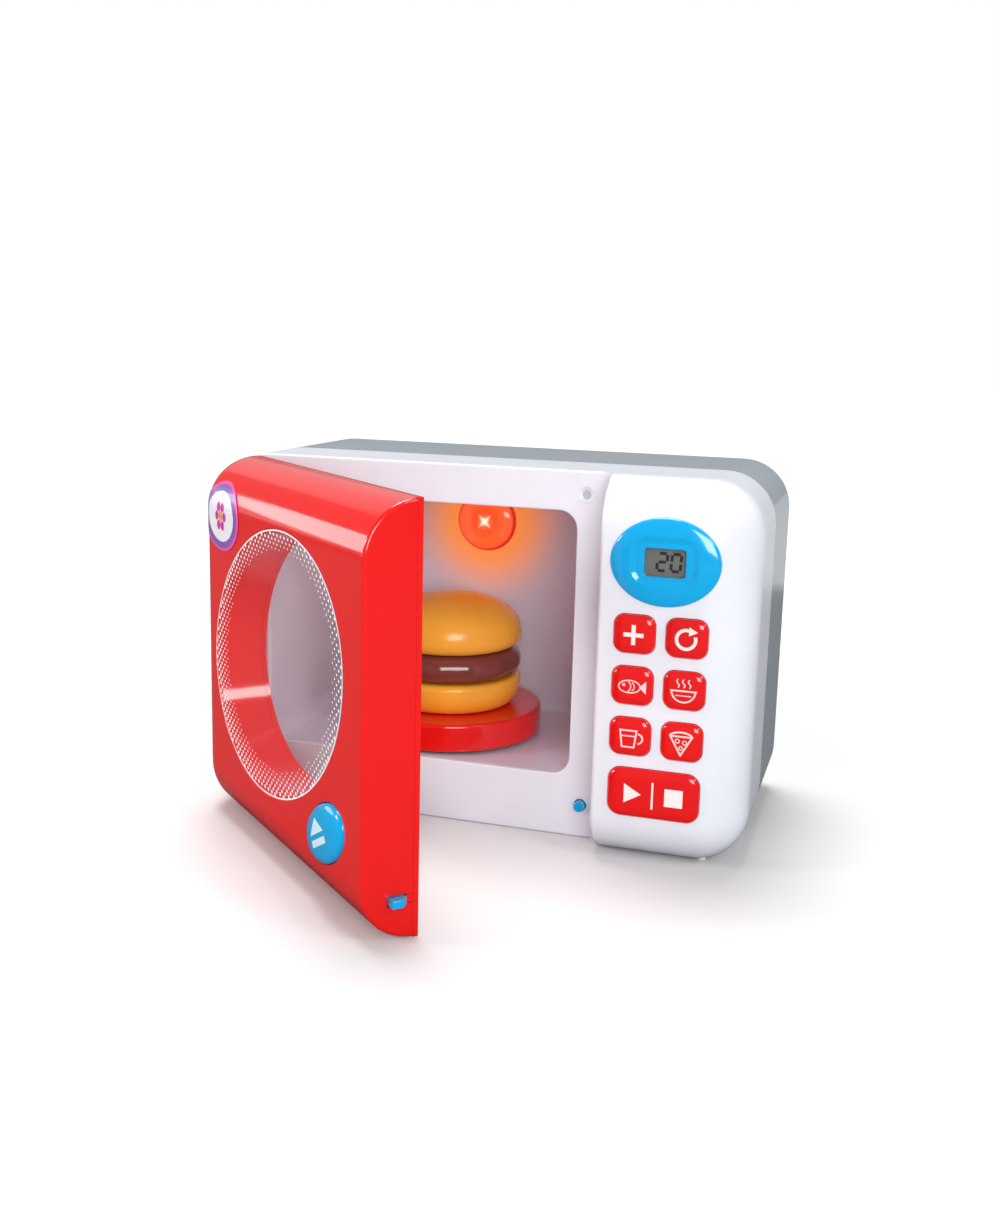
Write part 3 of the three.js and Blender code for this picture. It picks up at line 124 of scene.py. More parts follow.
def oval(x, z, rx, rz, tilt=0.0, steps=96):
    """Points of an ellipse turned by tilt, counter-clockwise."""
    points = []
    for i in range(steps):
        angle = 2 * math.pi * i / steps
        u, v = turned(rx * math.cos(angle), rz * math.sin(angle), tilt)
        points.append((x + u, z + v))
    return points


def circle(x, z, radius, steps=40):
    return oval(x, z, radius, radius, steps=steps)


def at_depth(outline, y):
    return [Vector((x, y, z)) for x, z in outline]


def at_height(outline, z):
    return [Vector((x, y, z)) for x, y in outline]


# %% Solids from loops
def new_object(name, mesh):
    obj = bpy.data.objects.new(name, mesh)
    bpy.context.scene.collection.objects.link(obj)
    return obj


def object_from(sculpt, name):
    """Keeps what was built in a bmesh as an object."""
    mesh = bpy.data.meshes.new(name)
    sculpt.to_mesh(mesh)
    sculpt.free()
    return new_object(name, mesh)


def skin(name, loops):
    """A closed solid through loops that all have the same number of points."""
    sculpt = bmesh.new()
    rings = [[sculpt.verts.new(point) for point in loop] for loop in loops]
    for near, far in zip(rings, rings[1:]):
        for i in range(len(near)):
            j = (i + 1) % len(near)
            sculpt.faces.new((near[i], near[j], far[j], far[i]))
    sculpt.faces.new(list(reversed(rings[0])))
    sculpt.faces.new(rings[-1])
    bmesh.ops.recalc_face_normals(sculpt, faces=sculpt.faces)
    return object_from(sculpt, name)


def prism(name, outline, y0, y1):
    return skin(name, [at_depth(outline, y0), at_depth(outline, y1)])


def column(name, outline, z0, z1):
    return skin(name, [at_height(outline, z0), at_height(outline, z1)])


def block(name, x0, x1, y0, y1, z0, z1):
    return prism(name, [(x0, z0), (x1, z0), (x1, z1), (x0, z1)], y0, y1)


def rod(name, axis, radius, low, high, a, b, steps=40):
    """A round bar along y or z; a and b place it on the other two axes."""
    extrude = prism if axis == "y" else column
    return extrude(name, circle(a, b, radius, steps), low, high)


def spun(name, profile, x, y, steps=72):
    """A solid of revolution about the vertical through (x, y) from (radius, height) points off the axis."""
    return skin(name, [at_height(circle(x, y, radius, steps), height) for radius, height in profile])


def flared_cut(outline_at, face_y, depth_y, lip):
    """A cutter that runs in from a face and opens out by lip at the face, so that the hole's edge is soft."""
    loops = [at_depth(outline_at(lip * 2), face_y - lip * 2)]
    for angle in quarter_turn(4):
        loops.append(at_depth(outline_at(lip * (1 - math.sin(angle))), face_y + lip * (1 - math.cos(angle))))
    loops.append(at_depth(outline_at(0), depth_y))
    return skin("cutter", loops)


# %% Cutting and joining
def applied(obj):
    """The object with its modifiers made into a plain mesh."""
    graph = bpy.context.evaluated_depsgraph_get()
    graph.update()
    mesh = bpy.data.meshes.new_from_object(obj.evaluated_get(graph), preserve_all_data_layers=True,
                                           depsgraph=graph)
    obj.modifiers.clear()
    old = obj.data
    obj.data = mesh
    bpy.data.meshes.remove(old)
    return obj


def combine(target, tools, operation):
    for tool in tools:
        change = target.modifiers.new("shape", "BOOLEAN")
        change.operation = operation
        change.solver = "MANIFOLD"
        change.object = tool
        applied(target)
        bpy.data.objects.remove(tool)
    return target


def cut(target, *tools):
    return combine(target, tools, "DIFFERENCE")


def join(target, *tools):
    return combine(target, tools, "UNION")


def keep_inside(target, *tools):
    return combine(target, tools, "INTERSECT")


# %% Shading and handing over
def smooth(obj, angle=32):
    """Rounded stretches shade smoothly, flats stay flat, and real corners stay crisp."""
    mesh = obj.data
    mesh.polygons.foreach_set("use_smooth", [True] * len(mesh.polygons))
    mesh.set_sharp_from_angle(angle=math.radians(angle))
    weights = obj.modifiers.new("flats", "WEIGHTED_NORMAL")
    weights.mode = "FACE_AREA"
    weights.weight = 80
    weights.keep_sharp = True
    return applied(obj)


def finish_with(obj, finish):
    obj.data.materials.clear()
    obj.data.materials.append(finish)


def place(obj, name, body, finish, nodes=(), door=False):
    """Names a finished piece, gives it its finish and hands it to the frame.

    A piece of the door was made for the closed door, so it is first turned to where the open door stands.
    """
    obj.name = name
    obj.data.name = name
    if door:
        obj.data.transform(Matrix.Translation(HINGE) @ Matrix.Rotation(-OPEN_ANGLE, 4, "Z")
                           @ Matrix.Translation(-HINGE))
    finish_with(obj, finish)
    if nodes:
        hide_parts(*nodes)
    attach(obj, body)
    print(name, "rides", body, "with", len(obj.data.polygons), "faces")
    return obj


# %% [markdown]
# ## Finishes
# All the plastics share two effects, so both are in one node group: a faint mottle of colour and gloss
# from the moulding, and the very shallow waviness that makes reflections swim a little on moulded plastic.
# Each material places the group with its own values and keeps its shader outside it. The nodes could be
# copied into every material instead, but then every change would have to be made over and over.

# %% A short way to write node trees
class Net:
    """Adds nodes to a tree. An input is fed by another node's output or set to a plain value."""

    def __init__(self, tree):
        self.tree = tree

    def feed(self, node, feeds):
        for key, value in feeds.items():
            if isinstance(value, bpy.types.NodeSocket):
                self.tree.links.new(value, node.inputs[key])
            else:
                node.inputs[key].default_value = value

    def add(self, kind, feeds=None, **settings):
        node = self.tree.nodes.new(kind)
        for name, value in settings.items():
            setattr(node, name, value)
        self.feed(node, feeds or {})
        return node.outputs

    def math(self, operation, *terms):
        return self.add("ShaderNodeMath", dict(enumerate(terms)), operation=operation)[0]

    def vector(self, operation, output, *terms):
        return self.add("ShaderNodeVectorMath", dict(enumerate(terms)), operation=operation)[output]

    def remap(self, value, low, high, to_low, to_high, curve="LINEAR"):
        return self.add("ShaderNodeMapRange", {"Value": value, "From Min": low, "From Max": high,
                                               "To Min": to_low, "To Max": to_high},
                        interpolation_type=curve)["Result"]

    def mix(self, share, first, second):
        return self.add("ShaderNodeMix", {0: share, 6: first, 7: second}, data_type="RGBA")[2]

    def ramp(self, share, stops, curve="LINEAR"):
        """A colour ramp through (position, colour) stops."""
        node = self.add("ShaderNodeValToRGB", {"Fac": share})["Color"].node
        node.color_ramp.interpolation = curve
        elements = node.color_ramp.elements
        for i, (position, colour) in enumerate(stops[:2]):
            elements[i].color = colour
            elements[i].position = position
        for position, colour in stops[2:]:
            elements.new(position).color = colour
        return node.outputs["Color"]

    def object_place(self):
        return self.add("ShaderNodeTexCoord")["Object"]


def new_group(name, kind, inputs, outputs):
    """An empty node group with named sockets, as its net, its inputs and its output node."""
    tree = bpy.data.node_groups.new(name, kind)
    for way, sockets in (("INPUT", inputs), ("OUTPUT", outputs)):
        for label, socket_type in sockets.items():
            tree.interface.new_socket(label, in_out=way, socket_type="NodeSocket" + socket_type)
    return Net(tree), tree.nodes.new("NodeGroupInput").outputs, tree.nodes.new("NodeGroupOutput")


def opened(material):
    """A material's net and its shader."""
    return Net(material.node_tree), material.node_tree.nodes["Principled BSDF"]


def new_material(name):
    material = bpy.data.materials.new(name)
    material.use_nodes = True
    return material, *opened(material)


# %% Colours and the shared effects
def paint(red, green, blue):
    """A colour as a photograph shows it, turned into the linear values that shaders use."""
    def linear(value):
        share = value / 255
        return share / 12.92 if share <= 0.04045 else ((share + 0.055) / 1.055) ** 2.4
    return (linear(red), linear(green), linear(blue), 1.0)


def moulded_skin_group():
    net, given, made = new_group(
        "moulded_skin", "ShaderNodeTree",
        {"Base": "Color", "Mottle": "Float", "Roughness": "Float", "Waviness": "Float", "Wave size": "Float"},
        {"Color": "Color", "Roughness": "Float", "Normal": "Vector"})
    spot = net.object_place()
    mottle = net.add("ShaderNodeTexNoise", {"Vector": spot, "Scale": 38, "Detail": 5})["Fac"]
    spread = net.remap(mottle, 0.3, 0.7, -1.0, 1.0)
    amount = net.math("MULTIPLY_ADD", spread, given["Mottle"], 1.0)
    tint = net.add("ShaderNodeHueSaturation", {"Color": given["Base"], "Value": amount})["Color"]
    waves = net.add("ShaderNodeTexNoise", {"Vector": spot, "Scale": given["Wave size"], "Detail": 2})["Fac"]
    bump = net.add("ShaderNodeBump", {"Strength": given["Waviness"], "Distance": 0.4 * MM, "Height": waves})
    net.feed(made, {"Color": tint, "Roughness": net.math("MULTIPLY", given["Roughness"], amount),
                    "Normal": bump["Normal"]})
    return net.tree


MOULDED_SKIN = moulded_skin_group()


def plastic(name, colour, roughness=0.2, mottle=0.02, waviness=0.05, wave_size=60, coat=0.0, metallic=0.0,
            translucency=0.0):
    """A moulded plastic with the shared skin; coat adds a polished film over it."""
    material, net, shader = new_material(name)
    effect = net.add("ShaderNodeGroup", {"Base": colour, "Mottle": mottle, "Roughness": roughness,
                                         "Waviness": waviness, "Wave size": wave_size},
                     node_tree=MOULDED_SKIN)
    net.feed(shader, {
        "Base Color": effect["Color"], "Roughness": effect["Roughness"], "Normal": effect["Normal"],
        "Coat Weight": coat, "Coat Roughness": 0.06, "Metallic": metallic, "Subsurface Weight": translucency,
        "Subsurface Radius": (1.0, 0.6, 0.4), "Subsurface Scale": 2 * MM})
    return material


# %% The plain finishes
white_plastic = plastic("white_plastic", paint(236, 239, 248), roughness=0.28, waviness=0.04, coat=0.15)
silver_plastic = plastic("silver_plastic", paint(190, 203, 213), roughness=0.22, coat=0.5, metallic=0.15)
red_plastic = plastic("red_plastic", paint(236, 22, 20), roughness=0.14, waviness=0.1, wave_size=28, coat=0.5)
key_plastic = plastic("key_plastic", paint(234, 18, 20), roughness=0.12, waviness=0.03, coat=0.6)
blue_plastic = plastic("blue_plastic", paint(0, 172, 234), roughness=0.12, waviness=0.03, coat=0.7)
pale_plastic = plastic("pale_plastic", paint(206, 211, 224), roughness=0.3)
cream_plastic = plastic("cream_plastic", paint(232, 226, 205), roughness=0.45)
black_plastic = plastic("black_plastic", paint(34, 34, 37), roughness=0.5, waviness=0.12, wave_size=300)
board_green = plastic("board_green", paint(44, 118, 66), roughness=0.4, coat=0.4, wave_size=500)
mat_rubber = plastic("mat_rubber", paint(70, 70, 75), roughness=0.75, waviness=0.1, wave_size=400)
cell_jacket = plastic("cell_jacket", paint(56, 104, 160), roughness=0.3, coat=0.4)
steel = plastic("steel", paint(186, 189, 194), roughness=0.3, metallic=1.0, waviness=0.1, wave_size=600)
print("materials in the file", len(bpy.data.materials))

# %% [markdown]
# ## The white front shell
# The front face is a pillow: flat in the middle and rolled over into the sides, deeper than it is wide.
# Its profile is a quarter of an ellipse. Seven pillow keys and the display sit in holes, and the left
# two thirds step back to a flat face that the door closes against. A concave sweep joins the two. A
# subdivided box would give a like pillow, but every hole in it would bend the highlights. So the pillow
# is skinned from outlines that follow the profile's formula, and the holes are cut from it afterwards.

# %% The pillow profile
def flat_outline(grow, steps=10):
    """The housing's outline when its roll has grown outwards by grow from the flat."""
    return rounded_outline(-WIDTH / 2 + ROLL_SIZE - grow, WIDTH / 2 - ROLL_SIZE + grow, ROLL_SIZE - grow,
                           HEIGHT - ROLL_SIZE + grow, CORNER - ROLL_SIZE + grow, steps)


def pillow(name, inset, end_y):
    """The housing's front, shrunk by inset, from its rolled face back to end_y."""
    loops = []
    for angle in quarter_turn(18):
        y = FRONT_Y + ROLL_DEPTH - (ROLL_DEPTH - inset) * math.cos(angle)
        loops.append(at_depth(flat_outline((ROLL_SIZE - inset) * math.sin(angle)), y))
    loops.append(at_depth(flat_outline(ROLL_SIZE - inset), end_y))
    return skin(name, loops)


def roll_y(past):
    """How far back the face lies at a distance past its flat middle."""
    return FRONT_Y + ROLL_DEPTH * crown_fall(min(max(past, 0.0) / ROLL_SIZE, 1.0))


def surface_y(x, z):
    """The pillow's surface anywhere on the face."""
    flat_x = max(abs(x) - (WIDTH / 2 - CORNER), 0.0)
    flat_z = max(CORNER - z, z - (HEIGHT - CORNER), 0.0)
    return roll_y(math.hypot(flat_x, flat_z) - (CORNER - ROLL_SIZE))


# %% The step that makes room for the door
PANEL_LEFT = 66 * MM
COVE = 5 * MM
PANEL_ROUND = 2 * MM
SHARP = 0.1 * MM


def door_room(grow=0.0, edge=PANEL_ROUND):
    """The space in front of the recessed face. Its wall sweeps into the face and rounds over in front."""
    right = PANEL_LEFT + grow
    back = RECESS_Y + grow
    cove = COVE + grow
    slices = 60
    heights = [-2 * PAST] + [HEIGHT * i / slices for i in range(slices + 1)] + [HEIGHT + 2 * PAST]
    loops = []
    for z in heights:
        front = min(roll_y(max(ROLL_SIZE - z, z - (HEIGHT - ROLL_SIZE))), back - cove - 2 * edge)
        before, beside = front - 6 * PAST, right + 2 * edge
        plan = [(-WIDTH, before), (beside, before), (beside, front - edge)]
        plan += arc(right + edge, front + edge, edge, edge, 270, 180, 6)
        plan += arc(right - cove, back - cove, cove, cove, 0, 90, 8)
        plan.append((-WIDTH, back))
        loops.append(at_height(plan, z))
    return skin("door_room", loops)


def recess_edge_cut(radius=1.2 * MM):
    """A thin ring outside the recessed face's rim. Taking it away leaves the rim rounded."""
    lower_left = [(x, z) for x, z in flat_outline(ROLL_SIZE) if x < 0 and z < HEIGHT / 2]
    path = [(PANEL_LEFT - COVE, 0.0)] + sorted(lower_left, key=lambda point: -point[0])
    path += [(x, HEIGHT - z) for x, z in reversed(path)]
    section = arc(-radius, radius, radius, radius, -90, 0, 5)
    section += [(radius, radius), (radius, -radius), (-radius, -radius)]
    loops = []
    for i, (x, z) in enumerate(path):
        before, after = path[max(i - 1, 0)], path[min(i + 1, len(path) - 1)]
        along = Vector((after[0] - before[0], after[1] - before[1])).normalized()
        out = Vector((along.y, -along.x))
        if out.dot(Vector((x, z - HEIGHT / 2))) < 0:
            out = -out
        loops.append([Vector((x + out.x * o, RECESS_Y + y, z + out.y * o)) for o, y in section])
    return skin("edge", loops)


print("pillow roll", ROLL_SIZE / MM, "by", ROLL_DEPTH / MM, "mm")

# %% Where the keys and the display sit
KEY_NODES = [f"key_row{row}_{side}" for row in (1, 2, 3) for side in ("left", "right")] + ["start_stop_key"]
KEY_RIM = 1.1 * MM
KEY_RADIUS = {name: 5 * MM for name in KEY_NODES}
KEY_RADIUS["start_stop_key"] = 6 * MM


def key_place(name):
    """Middle, width and height of a key's cap: the CAD flange less its rim."""
    low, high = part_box(name)
    x, _, z = middle_of(name)
    return x, z, high.x - low.x - 2 * KEY_RIM, high.z - low.z - 2 * KEY_RIM


def key_outline(name, grow, steps=8):
    x, z, width, height = key_place(name)
    return centred_outline(x, z, width + 2 * grow, height + 2 * grow, KEY_RADIUS[name] + grow, steps)


BEZEL_RX = 25 * MM
BEZEL_RZ = 20.1 * MM
BEZEL_LIP = 1.4 * MM
BEZEL_X, _, BEZEL_Z = middle_of("lcd_bezel")


def bezel_outline(grow=0.0, share=1.0):
    return oval(BEZEL_X, BEZEL_Z, BEZEL_RX * share + grow, BEZEL_RZ * share + grow)


print("keys", len(KEY_NODES), "bezel", round(BEZEL_RX * 2 / MM), "mm wide")

# %% Sizes of the lugs, posts and small holes
LUG_HEIGHTS = [(37.5 * MM, 46.5 * MM), (133.5 * MM, 142.5 * MM)]
LUG_HALF = 4.5 * MM
PIN_BORE = 1.9 * MM
POSTS = [(x * MM, z * MM) for x in (-124.5, 124.5) for z in (15.5, 164.5)]
POST = {"radius": 4.6 * MM, "bore": 1.5 * MM, "end": 9 * MM}
FOOT = {"x": 116.5 * MM, "y": -51 * MM, "radius": 2.2 * MM, "height": 3.2 * MM}
KEEPER_BOX = [side * MM for side in (63.8, 67.2, -62.4, -60, 13.8, 20.8)]
CAVITY = [side * MM for side in (-112, 48.7, 31, 160.7)]
CAVITY_ROUND = 9 * MM
LIP = {"oven": 0.9 * MM, "key": 0.25 * MM, "peg": 0.6 * MM, "door": 0.5 * MM, "view": 0.4 * MM}
PEG_X, _, PEG_Z = middle_of("release_peg")
PEG_TUBE = {"radius": 5.8 * MM, "bore": 4.2 * MM, "hole": 2.9 * MM, "guide": 5.5 * MM, "end": 19 * MM}
SWITCH_X, SWITCH_Z = 52.7 * MM, 168.7 * MM
DIMPLE = [(3.9, -1.0), (3.9, 0.0), (3.6, 0.6), (3.0, 1.1), (2.2, 1.35), (2.2, 4.8)]


def hinge_lug(low, high):
    plan = [(HINGE.x + LUG_HALF, RECESS_Y + WALL / 2), (HINGE.x - LUG_HALF, RECESS_Y + WALL / 2)]
    return column("lug", plan + arc(HINGE.x, HINGE.y, LUG_HALF, LUG_HALF, 180, 360, 16), low, high)


def cavity_outline(grow=0.0):
    x0, x1, z0, z1 = CAVITY
    return rounded_outline(x0 - grow, x1 + grow, z0 - grow, z1 + grow, CAVITY_ROUND + grow, 10)


# %% Front shell assembly
def front_shell():
    shell = pillow("front_shell_skin", 0.0, SEAM_Y)
    cut(shell, door_room(), recess_edge_cut())
    cut(shell, cut(pillow("hollow", WALL, SEAM_Y + PAST), door_room(WALL, SHARP)))
    for low, high in LUG_HEIGHTS:
        join(shell, hinge_lug(low, high))
        cut(shell, rod("pin", "z", PIN_BORE, low - MM, high + MM, HINGE.x, HINGE.y, 24))
    for x, z in POSTS:
        start = RECESS_Y + WALL / 2 if x < 0 else surface_y(x, z) + WALL / 2
        post = rod("post", "y", POST["radius"], start, POST["end"], x, z, 24)
        join(shell, keep_inside(post, pillow("room", WALL / 2, POST["end"] + 3 * MM)))
        cut(shell, rod("bore", "y", POST["bore"], -4 * MM, POST["end"] + 2 * MM, x, z, 16))
    join(shell, rod("nub", "z", FOOT["radius"], 0.0, FOOT["height"], FOOT["x"], FOOT["y"], 24),
         block("keeper", *KEEPER_BOX))
    cut(shell, flared_cut(cavity_outline, RECESS_Y, RECESS_Y + 2 * WALL, LIP["oven"]))
    for name in KEY_NODES:
        cut(shell, flared_cut(lambda grow: key_outline(name, GAP / 2 + grow), FRONT_Y, FRONT_Y + 3 * WALL,
                              LIP["key"]))
    cut(shell, prism("throat", bezel_outline(-BEZEL_LIP), FRONT_Y - PAST, FRONT_Y + 2 * WALL))
    tube_end = RECESS_Y + PEG_TUBE["end"]
    join(shell, rod("peg_tube", "y", PEG_TUBE["radius"], RECESS_Y + WALL / 2, tube_end, PEG_X, PEG_Z))
    cut(shell,
        rod("peg_bore", "y", PEG_TUBE["bore"], RECESS_Y + PEG_TUBE["guide"], tube_end + PAST, PEG_X, PEG_Z),
        flared_cut(lambda grow: circle(PEG_X, PEG_Z, PEG_TUBE["hole"] + grow, 32), RECESS_Y,
                   RECESS_Y + 8 * MM, LIP["peg"]),
        skin("dimple", [at_depth(circle(SWITCH_X, SWITCH_Z, reach * MM), RECESS_Y + y * MM)
                        for reach, y in DIMPLE]))
    return smooth(shell)


place(front_shell(), "front_shell_skin", "housing", white_plastic, ["front_shell"])

# %% [markdown]
# ## The silver back shell
# The back half is a deep tub in glossy silver-grey plastic that meets the white half at a fine seam. The
# back has four deep screw wells in the corners and a rosette of sound holes for the speaker. The holes
# repeat, so a Geometry Nodes tree sets out their cutters and one Boolean takes them all away.

# %% Sound holes made with Geometry Nodes
SPEAKER_X, SPEAKER_Z = 94 * MM, 128 * MM
FACING_FRONT = Matrix.Rotation(math.pi / 2, 4, "X")


def copies_on(net, points, shape, finish, scale=(1.0, 1.0, 1.0)):
    """A copy of a shape on every point, as real geometry with its finish."""
    copies = net.add("GeometryNodeInstanceOnPoints", {"Points": points, "Instance": shape, "Scale": scale})
    real = net.add("GeometryNodeRealizeInstances", {"Geometry": copies["Instances"]})
    return net.add("GeometryNodeSetMaterial", {"Geometry": real["Geometry"], "Material": finish})["Geometry"]


def sound_hole_tree():
    """One hole in the middle and a ring of holes about it."""
    net, given, made = new_group(
        "sound_holes", "GeometryNodeTree",
        {"Ring radius": "Float", "Hole radius": "Float", "Holes": "Int", "Material": "Material"},
        {"Geometry": "Geometry"})
    ring = net.add("GeometryNodeMeshCircle", {"Radius": given["Ring radius"], "Vertices": given["Holes"]})
    points = net.add("GeometryNodeMeshToPoints", {"Mesh": ring["Mesh"]})
    middle = net.add("GeometryNodePoints")
    both = net.add("GeometryNodeJoinGeometry", {"Geometry": points["Points"]})["Geometry"]
    net.tree.links.new(middle[0], both.node.inputs["Geometry"])
    peg = net.add("GeometryNodeMeshCylinder",
                  {"Vertices": 20, "Depth": 4 * WALL, "Radius": given["Hole radius"]})
    net.feed(made, {"Geometry": copies_on(net, both, peg["Mesh"], given["Material"])})
    return net.tree


def from_tree(name, tree, place_at, values):
    """Runs a Geometry Nodes tree once and keeps the result as a plain mesh that faces the front."""
    obj = new_object(name, bpy.data.meshes.new(name))
    modifier = obj.modifiers.new("tree", "NODES")
    modifier.node_group = tree
    for item in tree.interface.items_tree:
        if item.item_type == "SOCKET" and item.in_out == "INPUT" and item.name in values:
            modifier[item.identifier] = values[item.name]
    applied(obj)
    obj.data.transform(Matrix.Translation(place_at) @ FACING_FRONT)
    return obj


sound_holes = from_tree("sound_holes", sound_hole_tree(), (SPEAKER_X, BACK_Y, SPEAKER_Z), {
    "Ring radius": 7.5 * MM, "Hole radius": 1.6 * MM, "Holes": 6, "Material": silver_plastic})
print("sound holes", len(sound_holes.data.polygons), "faces")

# %% Back shell assembly
TABLE_X, TABLE_Y, _ = middle_of("turntable")
SCREW_WELL = {"tube": 5.6 * MM, "well": 3.8 * MM, "hole": 1.8 * MM, "start": 9.3 * MM}
BAY_WALL = 1.8 * MM
CUP = {"radius": 6.5 * MM, "bore": 3.3 * MM, "height": 9 * MM, "floor": 5 * MM}


def tub(name, inset, end_y):
    """The back shell's solid from its rolled back edge forward to the seam."""
    roll = BACK_ROLL - inset
    loops = []
    for angle in quarter_turn(12):
        grow = roll * math.sin(angle)
        half_width = WIDTH / 2 - BACK_ROLL + grow
        outline = rounded_outline(-half_width, half_width, BACK_ROLL - grow, HEIGHT - BACK_ROLL + grow,
                                  CORNER - BACK_ROLL + grow, 14)
        loops.append(at_depth(outline, BACK_Y - BACK_ROLL + roll * math.cos(angle)))
    return skin(name, loops + [at_depth(outline, end_y)])


def back_shell():
    shell = tub("back_shell", 0.0, SEAM_Y + GAP)
    cut(shell, tub("hollow", WALL, SEAM_Y - PAST))
    for x, z in POSTS:
        start = SCREW_WELL["start"]
        join(shell, rod("tube", "y", SCREW_WELL["tube"], start, BACK_Y - WALL / 2, x, z))
        cut(shell, rod("well", "y", SCREW_WELL["well"], start + WALL, BACK_Y + PAST, x, z))
        cut(shell, rod("hole", "y", SCREW_WELL["hole"], start - PAST, BACK_Y, x, z, 20))
    cut(shell, sound_holes)
    low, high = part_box("battery_door")
    rim_top = high.z + WALL
    join(shell, block("rim", low.x - WALL, high.x + WALL, low.y - WALL, high.y + WALL, 0.0, rim_top))
    cut(shell, block("hatch_seat", low.x - GAP, high.x + GAP, low.y - GAP, high.y + GAP, -MM, high.z + GAP))
    low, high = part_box("battery_box")
    cut(shell, block("bay", low.x + BAY_WALL, high.x - BAY_WALL, low.y + BAY_WALL, high.y - BAY_WALL, -MM,
                     rim_top + MM))
    join(shell, rod("cup", "z", CUP["radius"], WALL / 2, CUP["height"], TABLE_X, TABLE_Y))
    cut(shell, rod("cup_bore", "z", CUP["bore"], CUP["floor"], CUP["height"] + 3 * MM, TABLE_X, TABLE_Y))
    return smooth(shell)


place(back_shell(), "back_shell_skin", "housing", silver_plastic, ["rear_shell"])

# %% [markdown]
# ## The oven's inside
# A pale lilac liner with rounded corners forms the oven. It is one cup: skinned from its outer back round
# the front rim and into the rounded bottom of the inside. The lamp glows red through a lens in the back
# wall. A real light behind clear plastic would render slowly and with noise, so the glow is painted: it
# is a colour that fades with the distance from the lamp.

# %% Liner with the lamp's glow
liner_low, liner_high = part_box("cavity_liner")
lamp_low, lamp_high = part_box("lamp_lens")
LAMP_X, _, LAMP_Z = middle_of("lamp_lens")
LAMP = Vector((LAMP_X, lamp_low.y, LAMP_Z))
LAMP_RADIUS = 17 * MM
LINER = {"wall": 1.6 * MM, "round": 4 * MM, "spindle": 3.6 * MM}
BLACK = (0.0, 0.0, 0.0, 1.0)


def liner_finish():
    """Lilac plastic that the lamp lights up orange close by."""
    material = plastic("liner_plastic", paint(230, 228, 244), roughness=0.32, waviness=0.05)
    net, shader = opened(material)
    away = net.vector("DISTANCE", "Value", net.object_place(), LAMP)
    near = net.remap(away, 12 * MM, 54 * MM, 1.0, 0.0, "SMOOTHERSTEP")
    plain = shader.inputs["Base Color"].links[0].from_socket
    net.feed(shader, {"Emission Color": net.mix(near, BLACK, paint(240, 136, 40)), "Emission Strength": 0.6,
                      "Base Color": net.mix(near, plain, paint(228, 140, 80))})
    return material


def oven_liner():
    wall, bottom_round = LINER["wall"], LINER["round"]
    front, back = RECESS_Y + WALL + GAP, liner_high.y
    inside = back - wall
    loops = [at_depth(cavity_outline(wall), back), at_depth(cavity_outline(wall), front),
             at_depth(cavity_outline(), front), at_depth(cavity_outline(), inside - bottom_round)]
    for angle in quarter_turn(6, 1):
        loops.append(at_depth(cavity_outline(-bottom_round * (1 - math.cos(angle))),
                              inside - bottom_round * (1 - math.sin(angle))))
    liner = skin("oven_liner", loops)
    bottom = liner_low.z
    cut(liner, rod("spindle_hole", "z", LINER["spindle"], bottom - MM, bottom + 3 * MM, TABLE_X, TABLE_Y),
        rod("lamp_hole", "y", LAMP_RADIUS + GAP, inside - 2 * MM, back + MM, LAMP_X, LAMP_Z, 64))
    return smooth(liner)


place(oven_liner(), "oven_liner", "housing", liner_finish(), ["cavity_liner"])


# %% Lamp lens: a smooth dome that is lit from behind, with a painted star glint in its middle
def lamp_finish():
    material, net, shader = new_material("lamp_glow")
    spot = net.object_place()
    away = net.vector("DISTANCE", "Value", spot, LAMP)
    glass = net.ramp(net.remap(away, 0.0, LAMP_RADIUS + MM, 0.0, 1.0), [
        (0.05, paint(255, 120, 60)), (0.3, paint(244, 70, 34)), (0.6, paint(236, 92, 40)),
        (0.86, paint(226, 84, 46)), (0.93, paint(176, 26, 22))])
    # The star is a painted glint: a four-armed bright spot mixed into the emission colour, not a shape of the
    # lens.
    from_middle = net.vector("SUBTRACT", "Vector", spot, LAMP)
    roots = []
    for slant in (1.0, -1.0):
        along = net.vector("DOT_PRODUCT", "Value", from_middle, Vector((1.0, 0.0, slant)).normalized())
        roots.append(net.math("SQRT", net.math("ABSOLUTE", along)))
    painted_star_glint = net.remap(net.math("ADD", *roots), math.sqrt(1.2 * MM), math.sqrt(9 * MM), 1.0, 0.0, "SMOOTHSTEP")
    lit = net.mix(painted_star_glint, glass, paint(255, 246, 226))
    net.feed(shader, {"Emission Color": lit, "Base Color": lit, "Emission Strength": 0.85, "Roughness": 0.15,
                      "Coat Weight": 0.5})
    return material


def lamp_dome():
    back, flange, flange_radius, rise = lamp_high.y, 1.2 * MM, LAMP_RADIUS + 3 * MM, 5 * MM
    rise_from = back - 3.1 * MM
    profile = [(flange_radius, back), (flange_radius, back - flange), (LAMP_RADIUS, back - flange),
               (LAMP_RADIUS, rise_from)]
    profile += [(LAMP_RADIUS * math.cos(math.radians(a)), rise_from - rise * math.sin(math.radians(a)))
                for a in range(6, 86, 6)]
    loops = [at_depth(circle(LAMP_X, LAMP_Z, radius, 64), y) for radius, y in profile]
    return smooth(skin("lamp_dome", loops))


place(lamp_dome(), "lamp_dome", "housing", lamp_finish(), ["lamp_lens"])

# %% [markdown]
# ## The red door
# The door is the same pillow as the housing, cut off straight at its free edge, with a deep oval tunnel
# for the window. It is made closed, where its shape follows the housing's, and then swung open about the
# hinge, as the frame has it at rest. Made open, each of its cuts would need that turn of its own.

